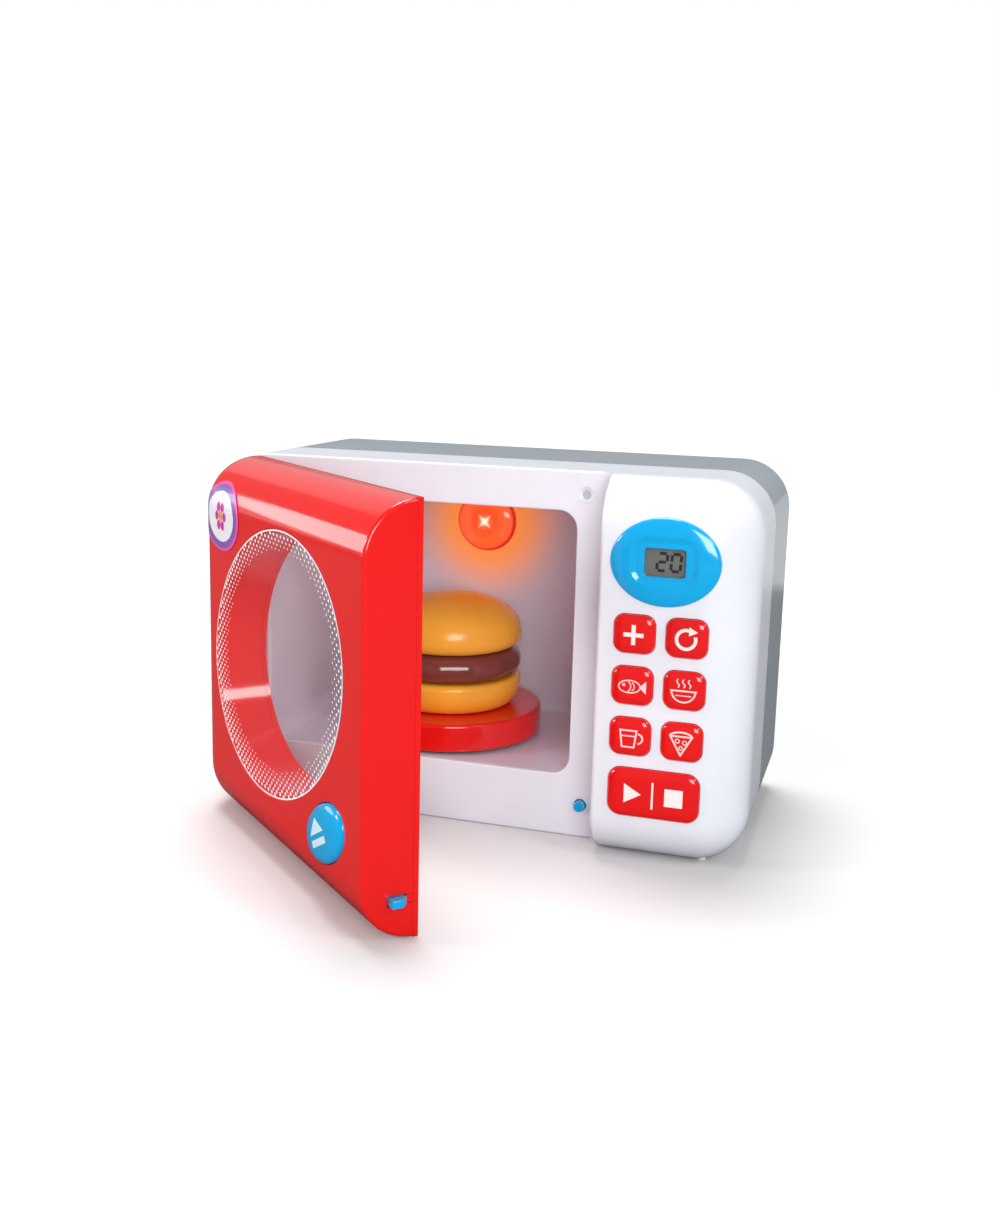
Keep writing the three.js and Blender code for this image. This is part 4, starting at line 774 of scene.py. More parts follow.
# %% Door sizes
DOOR_RIGHT = 61 * MM
DOOR_BACK_Y = RECESS_Y - 0.4 * MM
PLATE = 2.2 * MM
SHELL_END_Y = DOOR_BACK_Y - PLATE - GAP
FREE_EDGE_ROUND = 1.6 * MM
BARREL = 10 * MM
LUG_REACH = 4.8 * MM
KNUCKLE = 9 * MM
WINDOW = {"x": -33.1 * MM, "z": 94.4 * MM, "rx": 77.97 * MM, "rz": 60 * MM, "tilt": math.radians(21)}
BUTTON = {"x": 26.4 * MM, "z": 36.5 * MM, "rx": 19.6 * MM, "rz": 12.4 * MM, "tilt": math.radians(29)}
SEAT = 1.3 * MM
LEDGE = 1.6 * MM
LATCH_FRONT_Y, LATCH_BACK_Y = -60 * MM, -51.4 * MM
TONGUE = {"left": 58.6 * MM, "bottom": 15.4 * MM, "top": 19.2 * MM}
TONGUE_SLOT = {"left": TONGUE["left"] - GAP, "bottom": 15.2 * MM, "top": 19.4 * MM}
SLOT = {"bottom": 15 * MM, "top": 19.6 * MM}
INNER_RIB = {"guide_top": 20.7 * MM, "stop_top": 24.3 * MM, "stop_wall": 2 * MM, "knuckle": 6.9 * MM}
SWITCH_PIN = {"radius": 1.8 * MM, "end": -43.3 * MM}
PEG_SOCKET = 3.2 * MM


def oval_outline(size, grow=0.0, share=1.0, steps=128):
    rx, rz = size["rx"] * share + grow, size["rz"] * share + grow
    return oval(size["x"], size["z"], rx, rz, size["tilt"], steps)


def button_outline(grow=0.0, share=1.0):
    return oval_outline(BUTTON, grow, share, 64)


def through_door(name, x0, x1, z0=-MM, z1=HEIGHT + MM, y0=FRONT_Y - MM, y1=BACK_Y):
    """A block that reaches through the whole door unless told otherwise."""
    return block(name, x0, x1, y0, y1, z0, z1)


# %% Free edge with a soft arris
def free_edge_limit():
    """A slab that ends at the door's free edge and follows its roll, so that the arris comes out rounded."""
    def section(out):
        points = [(BACK_Y, HEIGHT + out + MM), (FRONT_Y + ROLL_DEPTH, HEIGHT + out)]
        points += [(FRONT_Y + ROLL_DEPTH - (ROLL_DEPTH + out) * math.cos(math.radians(a)),
                    HEIGHT - ROLL_SIZE + (ROLL_SIZE + out) * math.sin(math.radians(a)))
                   for a in range(84, -1, -6)]
        return points + [(y, HEIGHT - z) for y, z in reversed(points)]

    clear, hair, arris = 6 * MM, 0.02 * MM, FREE_EDGE_ROUND
    stations = [(-WIDTH, clear), (DOOR_RIGHT - 3 * arris, clear), (DOOR_RIGHT - 2 * arris, hair)]
    stations += [(DOOR_RIGHT - arris * (1 - math.sin(angle)), hair - arris * (1 - math.cos(angle)))
                 for angle in quarter_turn(6)]
    return skin("free_edge", [[Vector((x, y, z)) for y, z in section(out)] for x, out in stations])


def hinge_corner(inset=0.0):
    """What has to go for the door's back corner to turn clear of the housing."""
    corner = through_door("corner", -WIDTH, HINGE.x, y0=HINGE.y, y1=RECESS_Y + PAST)
    return cut(corner, rod("barrel", "z", BARREL - inset, -PAST, HEIGHT + PAST, HINGE.x, HINGE.y, 64))


def lug_notch(low, high):
    return block("notch", -WIDTH, HINGE.x + LUG_REACH, HINGE.y - LUG_REACH - 2.2 * MM, RECESS_Y + PAST,
                 low - GAP, high + GAP)


# %% Door shell
def door_shell():
    shell = pillow("door_shell", 0.0, SHELL_END_Y)
    keep_inside(shell, free_edge_limit())
    cut(shell, hinge_corner())
    hollow = pillow("hollow", WALL, SHELL_END_Y + PAST)
    cut(hollow, through_door("beyond", DOOR_RIGHT - WALL, WIDTH), hinge_corner(WALL),
        prism("tunnel", oval_outline(WINDOW, WALL / 2), FRONT_Y, BACK_Y))
    for low, high in LUG_HEIGHTS:
        reach = KNUCKLE + GAP
        cut(hollow,
            through_door("knuckle", -WIDTH, HINGE.x + INNER_RIB["knuckle"], low - reach, high + reach))
    guide = BUTTON["x"] + BUTTON["rx"]
    cut(hollow, through_door("guide", guide - WALL / 2, guide + WALL / 2, z1=INNER_RIB["guide_top"]),
        through_door("stop", 0.0, INNER_RIB["stop_wall"], z1=INNER_RIB["stop_top"]))
    cut(shell, hollow)
    for low, high in LUG_HEIGHTS:
        pin = rod("pin", "z", PIN_BORE, low - KNUCKLE, high + KNUCKLE, HINGE.x, HINGE.y, 24)
        cut(shell, pin, lug_notch(low, high))
    past_edge = DOOR_RIGHT + PAST
    cut(shell, flared_cut(lambda grow: oval_outline(WINDOW, grow), FRONT_Y, FRONT_Y + SEAT, LIP["door"]),
        prism("tunnel", oval_outline(WINDOW, -LEDGE), FRONT_Y, BACK_Y),
        flared_cut(lambda grow: button_outline(GAP + grow), FRONT_Y, FRONT_Y + 2 * WALL,
                   LIP["door"]),
        block("latch_slot", guide - WALL, past_edge, LATCH_FRONT_Y, LATCH_BACK_Y,
              SLOT["bottom"], SLOT["top"]),
        block("tongue_slot", TONGUE_SLOT["left"], past_edge, LATCH_BACK_Y - GAP, BACK_Y,
              TONGUE_SLOT["bottom"], TONGUE_SLOT["top"]))
    return smooth(shell)


place(door_shell(), "door_skin", "door", red_plastic, ["door_shell"], door=True)


# %% Door back plate
def door_back():
    plate = pillow("door_back", 0.0, DOOR_BACK_Y)
    cut(plate, through_door("front_part", -WIDTH, WIDTH, y1=DOOR_BACK_Y - PLATE - 0.2 * MM),
        through_door("beyond", DOOR_RIGHT, WIDTH), hinge_corner())
    inside = DOOR_BACK_Y - PLATE / 2
    join(plate, rod("pin", "y", SWITCH_PIN["radius"], inside, SWITCH_PIN["end"], SWITCH_X, SWITCH_Z),
         block("tongue", TONGUE["left"], DOOR_RIGHT - 0.2 * MM, LATCH_BACK_Y, inside,
               TONGUE["bottom"], TONGUE["top"]))
    cut(plate, prism("tunnel", oval_outline(WINDOW, -LEDGE), FRONT_Y, BACK_Y),
        rod("peg_hole", "y", PEG_SOCKET, FRONT_Y, BACK_Y, PEG_X, PEG_Z))
    for low, high in LUG_HEIGHTS:
        cut(plate, lug_notch(low, high))
    return smooth(plate)


place(door_back(), "door_back_plate", "door", red_plastic, ["door_back"], door=True)

# %% [markdown]
# ## The window
# A clear sheet sits on a ledge in the front of the tunnel. White dots are printed on it all round the rim
# and shrink towards the middle. The dots are real flat discs: Geometry Nodes puts one on each point of an
# upright staggered grid, drops those outside the rim band, and scales the rest by how far in they lie. A
# thin white border closes the print against the frame. A picture of the dots would be quicker to apply,
# but its edges would blur close up.

# %% Clear sheet
FILM = 0.8 * MM
FILM_FRONT_Y = FRONT_Y + SEAT - GAP - FILM
PRINT_Y = FILM_FRONT_Y - 0.05 * MM


def clear_finish(name, tint, alpha):
    material, net, shader = new_material(name)
    effect = net.add("ShaderNodeGroup", {"Waviness": 0.05, "Wave size": 30}, node_tree=MOULDED_SKIN)
    net.feed(shader, {"Base Color": tint, "Roughness": 0.04, "Alpha": alpha, "Coat Weight": 0.5,
                      "Normal": effect["Normal"]})
    return material


film = smooth(prism("film", oval_outline(WINDOW, -GAP), FILM_FRONT_Y, FILM_FRONT_Y + FILM))
place(film, "window_sheet", "door", clear_finish("clear_sheet", paint(250, 250, 255), 0.02),
      ["window_film"], door=True)


# %% Printed dots by Geometry Nodes
def rim_dot_tree():
    """Discs on a staggered upright grid in the XY plane, kept in a band inside a tilted ellipse."""
    sizes = dict.fromkeys(("Half width", "Half height", "Tilt", "Pitch", "Dot radius", "Band"), "Float")
    net, given, made = new_group(
        "rim_dots", "GeometryNodeTree",
        {**sizes, "Clear middle": "Vector", "Columns": "Int", "Rows": "Int", "Material": "Material"},
        {"Geometry": "Geometry"})
    half_pitch = net.math("MULTIPLY", given["Pitch"], 0.5)
    grid = net.add("GeometryNodeMeshGrid", {
        "Size X": net.math("MULTIPLY", given["Pitch"], net.math("SUBTRACT", given["Columns"], 1.0)),
        "Size Y": net.math("MULTIPLY", half_pitch, net.math("SUBTRACT", given["Rows"], 1.0)),
        "Vertices X": given["Columns"], "Vertices Y": given["Rows"]})
    points = net.add("GeometryNodeMeshToPoints", {"Mesh": grid["Mesh"]})
    row = net.math("MODULO", net.add("GeometryNodeInputIndex")[0], given["Rows"])
    aside = net.math("MULTIPLY", net.math("MODULO", row, 2.0), half_pitch)
    shifted = net.add("GeometryNodeSetPosition", {
        "Geometry": points["Points"], "Offset": net.add("ShaderNodeCombineXYZ", {"X": aside})["Vector"]})
    spot = net.add("GeometryNodeInputPosition")["Position"]
    back_turn = net.math("MULTIPLY", given["Tilt"], -1.0)

    def share_of_ellipse(vector):
        """How far out a place lies: 0 at the middle of the tilted ellipse, 1 on its rim."""
        upright = net.add("ShaderNodeVectorRotate", {"Vector": vector, "Angle": back_turn},
                          rotation_type="Z_AXIS")
        apart = net.add("ShaderNodeSeparateXYZ", {"Vector": upright["Vector"]})
        u = net.math("DIVIDE", apart["X"], given["Half width"])
        v = net.math("DIVIDE", apart["Y"], given["Half height"])
        return net.math("SQRT", net.math("ADD", net.math("MULTIPLY", u, u), net.math("MULTIPLY", v, v)))

    reach = share_of_ellipse(net.vector("SUBTRACT", "Vector", spot, given["Clear middle"]))
    inner = net.math("SUBTRACT", 1.0, given["Band"])
    outside = net.math("GREATER_THAN", share_of_ellipse(spot), 0.985)
    unwanted = net.math("MAXIMUM", outside, net.math("LESS_THAN", reach, inner))
    trimmed = net.add("GeometryNodeDeleteGeometry", {"Geometry": shifted["Geometry"], "Selection": unwanted},
                      domain="POINT")
    disc = net.add("GeometryNodeMeshCircle", {"Vertices": 10, "Radius": given["Dot radius"]},
                   fill_type="NGON")
    net.feed(made, {"Geometry": copies_on(net, trimmed["Geometry"], disc["Mesh"], given["Material"],
                                          net.remap(reach, inner, 1.0, 0.4, 1.0))})
    return net.tree


DOT_PITCH = 4.1 * MM
white_print = plastic("white_print", paint(252, 250, 252), roughness=0.4)
dots = from_tree("rim_dots", rim_dot_tree(), (WINDOW["x"], PRINT_Y, WINDOW["z"]), {
    "Half width": WINDOW["rx"] - GAP, "Half height": WINDOW["rz"] - GAP, "Tilt": WINDOW["tilt"],
    "Pitch": DOT_PITCH, "Dot radius": 0.98 * MM, "Band": 0.18, "Clear middle": (3.7 * MM, 2.4 * MM, 0.0),
    "Columns": int(2 * WINDOW["rx"] / DOT_PITCH) + 2, "Rows": int(4 * WINDOW["rx"] / DOT_PITCH) + 3,
    "Material": white_print})
print("dots", len(dots.data.polygons))
place(dots, "window_dots", "door", white_print, door=True)


# %% Printed border round the dots
def face_front(sculpt):
    """Turns the faces of a thin print towards the front."""
    sculpt.normal_update()
    for face in sculpt.faces:
        if face.normal.y > 0:
            face.normal_flip()


def window_border(width=0.7 * MM):
    sculpt = bmesh.new()
    rims = [at_depth(oval_outline(WINDOW, -GAP - step), PRINT_Y - 0.04 * MM) for step in (0.0, width)]
    outer, inner = [[sculpt.verts.new(point) for point in rim] for rim in rims]
    for i in range(len(outer)):
        after = (i + 1) % len(outer)
        sculpt.faces.new([outer[i], outer[after], inner[after], inner[i]])
    face_front(sculpt)
    return object_from(sculpt, "window_border")


place(window_border(), "window_border", "door", white_print, door=True)

# %% [markdown]
# ## Opening button, latch and peg
# The blue button is a low dome with a generic open symbol on it. The latch is a bevelled blue bar in the
# door's free edge, and the small blue peg stands beside the panel. The dome's height is a formula, so the
# symbol can be laid on it point by point, which stays sharper than a texture. The latch keeps its CAD
# shape, and the Bevel modifier only takes off its arrises.

# %% Button dome
BUTTON_FRONT_Y = FRONT_Y - 3.4 * MM
BUTTON_FALL = 3.6 * MM
BUTTON_FULLNESS = 3.2
FLANGE_Y = FRONT_Y + WALL + GAP
FLANGE = {"rim": 1.1 * MM, "thickness": 1.2 * MM}
ARM = {"left": -4.5 * MM, "width": 9 * MM, "slope": 3.9 * MM, "bottom": 17.5 * MM}
STEM = {"radius": 3.2 * MM, "length": 11.2 * MM}


def button_y(x, z):
    """The dome's surface: it falls from the crown to the rim, slowly at first."""
    u, v = turned(x - BUTTON["x"], z - BUTTON["z"], -BUTTON["tilt"])
    share = min(math.hypot(u / BUTTON["rx"], v / BUTTON["rz"]), 1.0)
    return BUTTON_FRONT_Y + BUTTON_FALL * crown_fall(share, BUTTON_FULLNESS)


def button_dome():
    loops = []
    for share in (0.05, 0.3, 0.5, 0.65, 0.76, 0.84, 0.9, 0.94, 0.97, 0.99, 1.0):
        loops.append([Vector((x, button_y(x, z), z)) for x, z in button_outline(share=share)])
    loops.append(at_depth(button_outline(), FLANGE_Y - GAP / 2))
    dome = skin("button", loops)
    flange = prism("flange", button_outline(FLANGE["rim"]), FLANGE_Y, FLANGE_Y + FLANGE["thickness"])
    keep_inside(flange, pillow("room", WALL + GAP, SHELL_END_Y))
    left, top, slope = BUTTON["x"] + ARM["left"], FLANGE_Y + MM, ARM["slope"]
    right, end = left + ARM["width"], top + slope
    wedge = [(left, top), (right, top), (right, end), (left + slope, end)]
    join(dome, prism("neck", button_outline(-MM), FRONT_Y + MM, FLANGE_Y + FLANGE["thickness"] / 2), flange,
         column("wedge", wedge, ARM["bottom"], BUTTON["z"]),
         rod("stem", "y", STEM["radius"], top - 0.4 * MM, top + STEM["length"], BUTTON["x"], BUTTON["z"]))
    return smooth(dome)


place(button_dome(), "button_dome", "open_button", blue_plastic, ["open_button"], door=True)

# %% Printed symbols
# The drawings are in millimetres, and so are the next two. Crossing lines lie a hair apart in depth.
HAIR = 0.004
LONGEST_EDGE = 1.1
PRINT_LIFT = 0.05 * MM


def symbol_mesh(name, shapes, surface, origin, tilt=0.0):
    """Flat filled shapes, drawn in millimetres about origin, laid on a surface."""
    sculpt = bmesh.new()
    for i, shape in enumerate(shapes):
        sculpt.faces.new([sculpt.verts.new((u, v, HAIR * (i % 8))) for u, v in shape])
    bmesh.ops.triangulate(sculpt, faces=sculpt.faces)
    for _ in range(4):
        long = [edge for edge in sculpt.edges if edge.calc_length() > LONGEST_EDGE]
        if not long:
            break
        bmesh.ops.subdivide_edges(sculpt, edges=long, cuts=1)
        bmesh.ops.triangulate(sculpt, faces=sculpt.faces)
    for vertex in sculpt.verts:
        u, v = turned(vertex.co.x * MM, vertex.co.y * MM, tilt)
        x, z = origin[0] + u, origin[1] + v
        vertex.co = Vector((x, surface(x, z) - PRINT_LIFT - vertex.co.z * MM, z))
    bmesh.ops.recalc_face_normals(sculpt, faces=sculpt.faces)
    face_front(sculpt)
    return object_from(sculpt, name)


def stroke(points, width, closed=False):
    """A line of even width through points: quads that meet on mitred joints and never overlap."""
    last = len(points) - 1
    sides = []
    for i, (x, z) in enumerate(points):
        before = points[i - 1] if i or closed else points[i]
        after = points[(i + 1) % len(points)] if i < last or closed else points[i]
        ways = [Vector(b) - Vector(a) for a, b in ((before, (x, z)), ((x, z), after)) if a != b]
        along = sum((way.normalized() for way in ways), Vector((0.0, 0.0))).normalized()
        out = Vector((-along.y, along.x))
        out *= width / 2 / max(abs(Vector((-ways[0].y, ways[0].x)).normalized().dot(out)), 0.5)
        sides.append(((x + out.x, z + out.y), (x - out.x, z - out.y)))
    ends = sides + sides[:1] if closed else sides
    return [[left0, right0, right1, left1] for (left0, right0), (left1, right1) in zip(ends, ends[1:])]


open_symbol = [[(-7.4, 0.6), (7.4, 0.6), (0.0, 7.4)], [(-7.4, -4.6), (7.4, -4.6), (7.4, -1.6), (-7.4, -1.6)]]
pale_print = plastic("pale_print", paint(214, 246, 252), roughness=0.3)
place(symbol_mesh("open_symbol", open_symbol, button_y, (BUTTON["x"] - 1.5 * MM, BUTTON["z"] - 0.5 * MM),
                  BUTTON["tilt"]), "open_symbol", "open_button", pale_print, door=True)


# %% Latch bar and release peg
def softened(obj, width=0.4 * MM, segments=2):
    """A solid with its arrises taken off."""
    bevel = obj.modifiers.new("arris", "BEVEL")
    bevel.width = width
    bevel.segments = segments
    bevel.limit_method = "ANGLE"
    bevel.angle_limit = math.radians(35)
    bevel.use_clamp_overlap = True
    return smooth(applied(obj), 40)


def node_copy(node):
    """A merged copy of a CAD node's mesh, to soften and finish."""
    copy = new_object(node + "_copy", frame["nodes"][node].data.copy())
    sculpt = bmesh.new()
    sculpt.from_mesh(copy.data)
    bmesh.ops.remove_doubles(sculpt, verts=sculpt.verts, dist=1e-6)
    bmesh.ops.dissolve_limit(sculpt, angle_limit=math.radians(1), verts=sculpt.verts, edges=sculpt.edges)
    sculpt.to_mesh(copy.data)
    sculpt.free()
    return copy


def peg():
    low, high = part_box("release_peg")
    radius, arris, rim = 2.6 * MM, 0.8 * MM, 1.3 * MM
    flange_y = high.y - 1.5 * MM
    profile = [(radius * 0.2, low.y)]
    profile += [(radius - arris * (1 - math.sin(angle)), low.y + arris * (1 - math.cos(angle)))
                for angle in quarter_turn(6)]
    profile += [(radius, flange_y), (radius + rim, flange_y), (radius + rim, high.y)]
    return smooth(skin("peg", [at_depth(circle(PEG_X, PEG_Z, reach), y) for reach, y in profile]))


place(softened(node_copy("latch"), 0.8 * MM, 3), "latch_bar", "latch", blue_plastic, ["latch"])
place(peg(), "release_peg_skin", "release_peg", blue_plastic, ["release_peg"])

# %% [markdown]
# ## Keys
# Each key is a small glossy pillow. Its height over the panel follows a rounded box: a broad, nearly flat
# crown that falls ever faster to the rim. A Bevel modifier would round the rim but leave the crown flat,
# and the flat would show in the gloss. The print on the keys is made of plain line symbols.

# %% Key caps
KEY_CROWN_Y = FRONT_Y - 2.4 * MM
KEY_FALL = 2.5 * MM
KEY_SHOULDER = 5.5 * MM
KEY_FULLNESS = 2.4
KEY_FLANGE = 1.1 * MM


def key_y(inside):
    """How far back a key's cap lies at a distance inside its rim."""
    share = 1 - min(max(inside / KEY_SHOULDER, 0.0), 1.0)
    return KEY_CROWN_Y + KEY_FALL * crown_fall(share, KEY_FULLNESS)


def key_surface(name):
    x0, z0, width, height = key_place(name)
    return lambda x, z: key_y(min(width / 2 - abs(x - x0), height / 2 - abs(z - z0)))


def key_cap(name):
    x, z, width, height = key_place(name)
    loops = []
    for step in (5.4, 4.6, 3.8, 3.1, 2.4, 1.8, 1.25, 0.8, 0.45, 0.2, 0.05, 0.0):
        inset = step * MM
        corner = max(KEY_RADIUS[name] - inset * 0.9, 0.5 * MM)
        outline = centred_outline(x, z, width - 2 * inset, height - 2 * inset, corner, 10)
        loops.append(at_depth(outline, key_y(inset)))
    loops.append(at_depth(key_outline(name, 0.0, 10), FLANGE_Y))
    flange = prism("flange", key_outline(name, KEY_RIM, 6), FLANGE_Y - GAP / 2, FLANGE_Y + KEY_FLANGE)
    keep_inside(flange, pillow("room", WALL + GAP, SEAM_Y))
    return smooth(join(skin(name, loops), flange))


for key_name in KEY_NODES:
    place(key_cap(key_name), key_name + "_cap", key_name, key_plastic, [key_name])


# %% Symbols on the keys
def ring_points(x, z, rx, rz, start=0, end=360, steps=28):
    return arc(x, z, rx, rz, start, end, steps)


def plus_symbol():
    return stroke([(-4.6, 0), (4.6, 0)], 1.9) + stroke([(0, -4.6), (0, 4.6)], 1.9)


def restart_symbol():
    return stroke(ring_points(0, 0, 4.3, 4.3, 60, 380, 24), 1.5) + [[(1.2, 5.8), (1.2, 1.7), (5.2, 3.6)]]


def fish_symbol():
    body = ring_points(-0.8, 0, 5.0, 2.9)
    tail = [(3.6, 0.0), (6.8, 3.0), (6.8, -3.0)]
    return (stroke(body, 0.6) + [tail] + stroke(ring_points(-3.4, 0.7, 0.5, 0.5), 0.5)
            + stroke(ring_points(-2.2, 0, 2.0, 2.4, -70, 70, 10), 0.5)
            + stroke(ring_points(-0.2, 0, 1.6, 2.0, -70, 70, 10), 0.5))


def bowl_symbol():
    rim = stroke([(-6, 0.4), (6, 0.4)], 0.8)
    bowl = stroke(ring_points(0, 0.4, 5.4, 5.2, 180, 360, 18), 0.8)
    steam = []
    for x in (-2.6, 0.0, 2.6):
        steam += stroke([(x + 0.6 * math.sin(t * 0.9), 1.9 + t * 0.55) for t in range(8)], 0.6)
    return rim + bowl + steam + stroke([(-3.6, -1.8), (3.6, -1.8)], 0.5)


def cup_symbol():
    body = stroke([(-4.2, 3.4), (-3.2, -4.4), (2.4, -4.4), (3.4, 3.4)], 0.8, closed=True)
    handle = stroke(ring_points(3.6, -0.2, 2.6, 2.4, -80, 80, 12), 0.8)
    return body + handle + stroke([(-3.4, 0.8), (2.8, 0.8)], 0.6)


def slice_symbol():
    wedge = stroke([(0, -5.6), (-5.0, 3.2), (5.0, 3.2)], 0.8, closed=True)
    crust = stroke(ring_points(0, 2.6, 5.4, 2.6, 20, 160, 12), 0.9)
    spots = stroke(ring_points(-1.6, 1.0, 0.9, 0.9), 0.5) + stroke(ring_points(1.7, 0.4, 0.9, 0.9), 0.5)
    return wedge + crust + spots + stroke(ring_points(0, -2.2, 0.8, 0.8), 0.5)


def start_stop_symbol():
    arrow = [(-13.2, -4.6), (-5.2, 0.0), (-13.2, 4.6)]
    square = [(5.6, -4.2), (14.0, -4.2), (14.0, 4.2), (5.6, 4.2)]
    return [arrow] + stroke([(0.0, -6.4), (0.0, 6.4)], 0.9) + [square]


key_print = plastic("key_print", paint(252, 214, 214), roughness=0.35)
white_key_print = plastic("white_key_print", paint(255, 244, 240), roughness=0.35)
KEY_SYMBOLS = {
    "key_row3_left": (plus_symbol, white_key_print), "key_row3_right": (restart_symbol, white_key_print),
    "key_row2_left": (fish_symbol, key_print), "key_row2_right": (bowl_symbol, key_print),
    "key_row1_left": (cup_symbol, key_print), "key_row1_right": (slice_symbol, key_print),
    "start_stop_key": (start_stop_symbol, white_key_print)}
for key_name, (symbol, ink) in KEY_SYMBOLS.items():
    label = key_name + "_symbol"
    place(symbol_mesh(label, symbol(), key_surface(key_name), key_place(key_name)[:2]), label, key_name, ink)

# %% [markdown]
# ## Display
# The bezel is a blue dome, oval in outline, with a shallow saddle sunk round the display window. The
# saddle is a loop cutter like the others, because its flare is what catches the light. The display is a
# grey panel with dark bar digits, which show a plain number.

# %% Bezel dome with its saddle
VIEW = {"width": 18.7 * MM, "height": 12.8 * MM, "round": 1.5 * MM}
SADDLE = {"width": 26 * MM, "height": 16.5 * MM, "round": 4 * MM, "flare": 3.4 * MM, "depth": 1.5 * MM,
          "up": 0.6 * MM}
BEZEL_FALL = 2.8 * MM
BEZEL_FULLNESS = 3
bezel_low, bezel_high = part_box("lcd_bezel")
lens_low, lens_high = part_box("lcd_lens")


def saddle_loop(grow, y):
    outline = centred_outline(BEZEL_X, BEZEL_Z + SADDLE["up"], SADDLE["width"] + 2 * grow,
                              SADDLE["height"] + 2 * grow, SADDLE["round"] + grow, 8)
    return at_depth(outline, y)


def view_outline(grow):
    return centred_outline(BEZEL_X, BEZEL_Z, VIEW["width"] + 2 * grow, VIEW["height"] + 2 * grow,
                           VIEW["round"] + grow)


def bezel_piece():
    front, back = bezel_low.y, bezel_high.y
    loops = [at_depth(bezel_outline(share=share), front + BEZEL_FALL * crown_fall(share, BEZEL_FULLNESS))
             for share in (0.04, 0.3, 0.5, 0.66, 0.78, 0.86, 0.92, 0.96, 0.985, 1.0)]
    dome = skin("bezel", loops + [at_depth(bezel_outline(), back)])
    cut(dome, pillow("panel", -GAP / 2, SEAM_Y))
    join(dome, prism("throat", bezel_outline(-BEZEL_LIP - GAP), FRONT_Y - 0.6 * MM, back))
    saddle = [saddle_loop(3.5 * MM, front - 3 * MM)]
    for angle in quarter_turn(6):
        sunk = math.sin(angle)
        saddle.append(saddle_loop(SADDLE["flare"] * (1 - sunk), front + SADDLE["depth"] * sunk))
    cut(dome, skin("saddle", saddle),
        flared_cut(view_outline, front + SADDLE["depth"], back + MM, LIP["view"]),
        block("pocket", lens_low.x - GAP, lens_high.x + GAP, lens_low.y - GAP, back + MM, lens_low.z - GAP,
              lens_high.z + GAP))
    return smooth(dome)


place(bezel_piece(), "display_bezel", "housing", blue_plastic, ["lcd_bezel"])

# %% Display glass and digits
display_glass = plastic("display_glass", paint(114, 116, 110), roughness=0.25, mottle=0.02, coat=0.3)
place(softened(node_copy("lcd_lens"), 0.2 * MM), "display_panel", "housing", display_glass,
      ["lcd_lens"])

SEGMENTS = {"top": ((-1.6, 3.9), (1.6, 3.9)), "middle": ((-1.6, 0.0), (1.6, 0.0)),
            "bottom": ((-1.6, -3.9), (1.6, -3.9)),
            "upper_left": ((-2.1, 3.4), (-2.1, 0.5)), "upper_right": ((2.1, 3.4), (2.1, 0.5)),
            "lower_left": ((-2.1, -0.5), (-2.1, -3.4)), "lower_right": ((2.1, -0.5), (2.1, -3.4))}
DIGITS = {2: ("top", "upper_right", "middle", "lower_left", "bottom"),
          0: ("top", "upper_left", "upper_right", "lower_left", "lower_right", "bottom")}
SLANT = 0.08
BAR = 1.35


def digit(number, shift):
    bars = [[(x + shift + z * SLANT, z) for x, z in SEGMENTS[name]] for name in DIGITS[number]]
    return [patch for bar in bars for patch in stroke(bar, BAR)]


segment_ink = plastic("segment_ink", paint(38, 38, 36), roughness=0.4)
digits = digit(2, -1.7) + digit(0, 4.6)
place(symbol_mesh("display_digits", digits, lambda x, z: lens_low.y, (BEZEL_X, BEZEL_Z)), "display_digits",
      "housing", segment_ink)

# %% [markdown]
# ## Sticker
# A printed oval bends over the door's rolled corner. It carries a plain ring in two colours and a small
# flower, laid on the pillow's surface point by point. A Shrinkwrap modifier could press a flat disc on to
# the door, but here the surface has a formula, and each point also keeps how far out in the oval it lies,
# which is all that the colour rings need.

# %% Sticker
STICKER_X, STICKER_Z = -98.5 * MM, 152.9 * MM
STICKER_RX, STICKER_RZ = 24 * MM, 16.7 * MM
STICKER_LIFT = 0.4 * MM


def sticker_finish():
    """Rings of pink, purple and white by how far out a point lies in the oval, from its own attribute."""
    material, net, shader = new_material("sticker_print")
    reach = net.add("ShaderNodeAttribute", attribute_name="reach")["Fac"]
    print_colour = net.ramp(reach, [(0.0, paint(250, 246, 252)), (0.72, paint(132, 92, 180)),
                                    (0.9, paint(236, 84, 172))], "CONSTANT")
    net.feed(shader, {"Base Color": print_colour, "Roughness": 0.25, "Coat Weight": 0.5})
    return material


def sticker(rings=24, sides=96):
    sculpt = bmesh.new()
    reach = sculpt.verts.layers.float.new("reach")

    def spot(x, z, share):
        vertex = sculpt.verts.new((x, surface_y(x, z) - STICKER_LIFT, z))
        vertex[reach] = share
        return vertex

    centre = spot(STICKER_X, STICKER_Z, 0.0)
    rows = [[spot(x, z, k / rings) for x, z in oval(STICKER_X, STICKER_Z, STICKER_RX * k / rings,
                                                    STICKER_RZ * k / rings, steps=sides)]
            for k in range(1, rings + 1)]
    for i in range(sides):
        j = (i + 1) % sides
        sculpt.faces.new((centre, rows[0][j], rows[0][i]))
        for near, far in zip(rows, rows[1:]):
            sculpt.faces.new((near[i], near[j], far[j], far[i]))
    bmesh.ops.recalc_face_normals(sculpt, faces=sculpt.faces)
    face_front(sculpt)
    obj = object_from(sculpt, "sticker")
    obj.data.polygons.foreach_set("use_smooth", [True] * len(obj.data.polygons))
    thick = obj.modifiers.new("sheet", "SOLIDIFY")
    thick.thickness = 0.15 * MM
    thick.offset = -1
    return applied(obj)


def petals(count, reach, size):
    turns = [2 * math.pi * i / count for i in range(count)]
    return [ring_points(reach * math.cos(turn), reach * math.sin(turn), size, size, 0, 345, 23)
            for turn in turns]


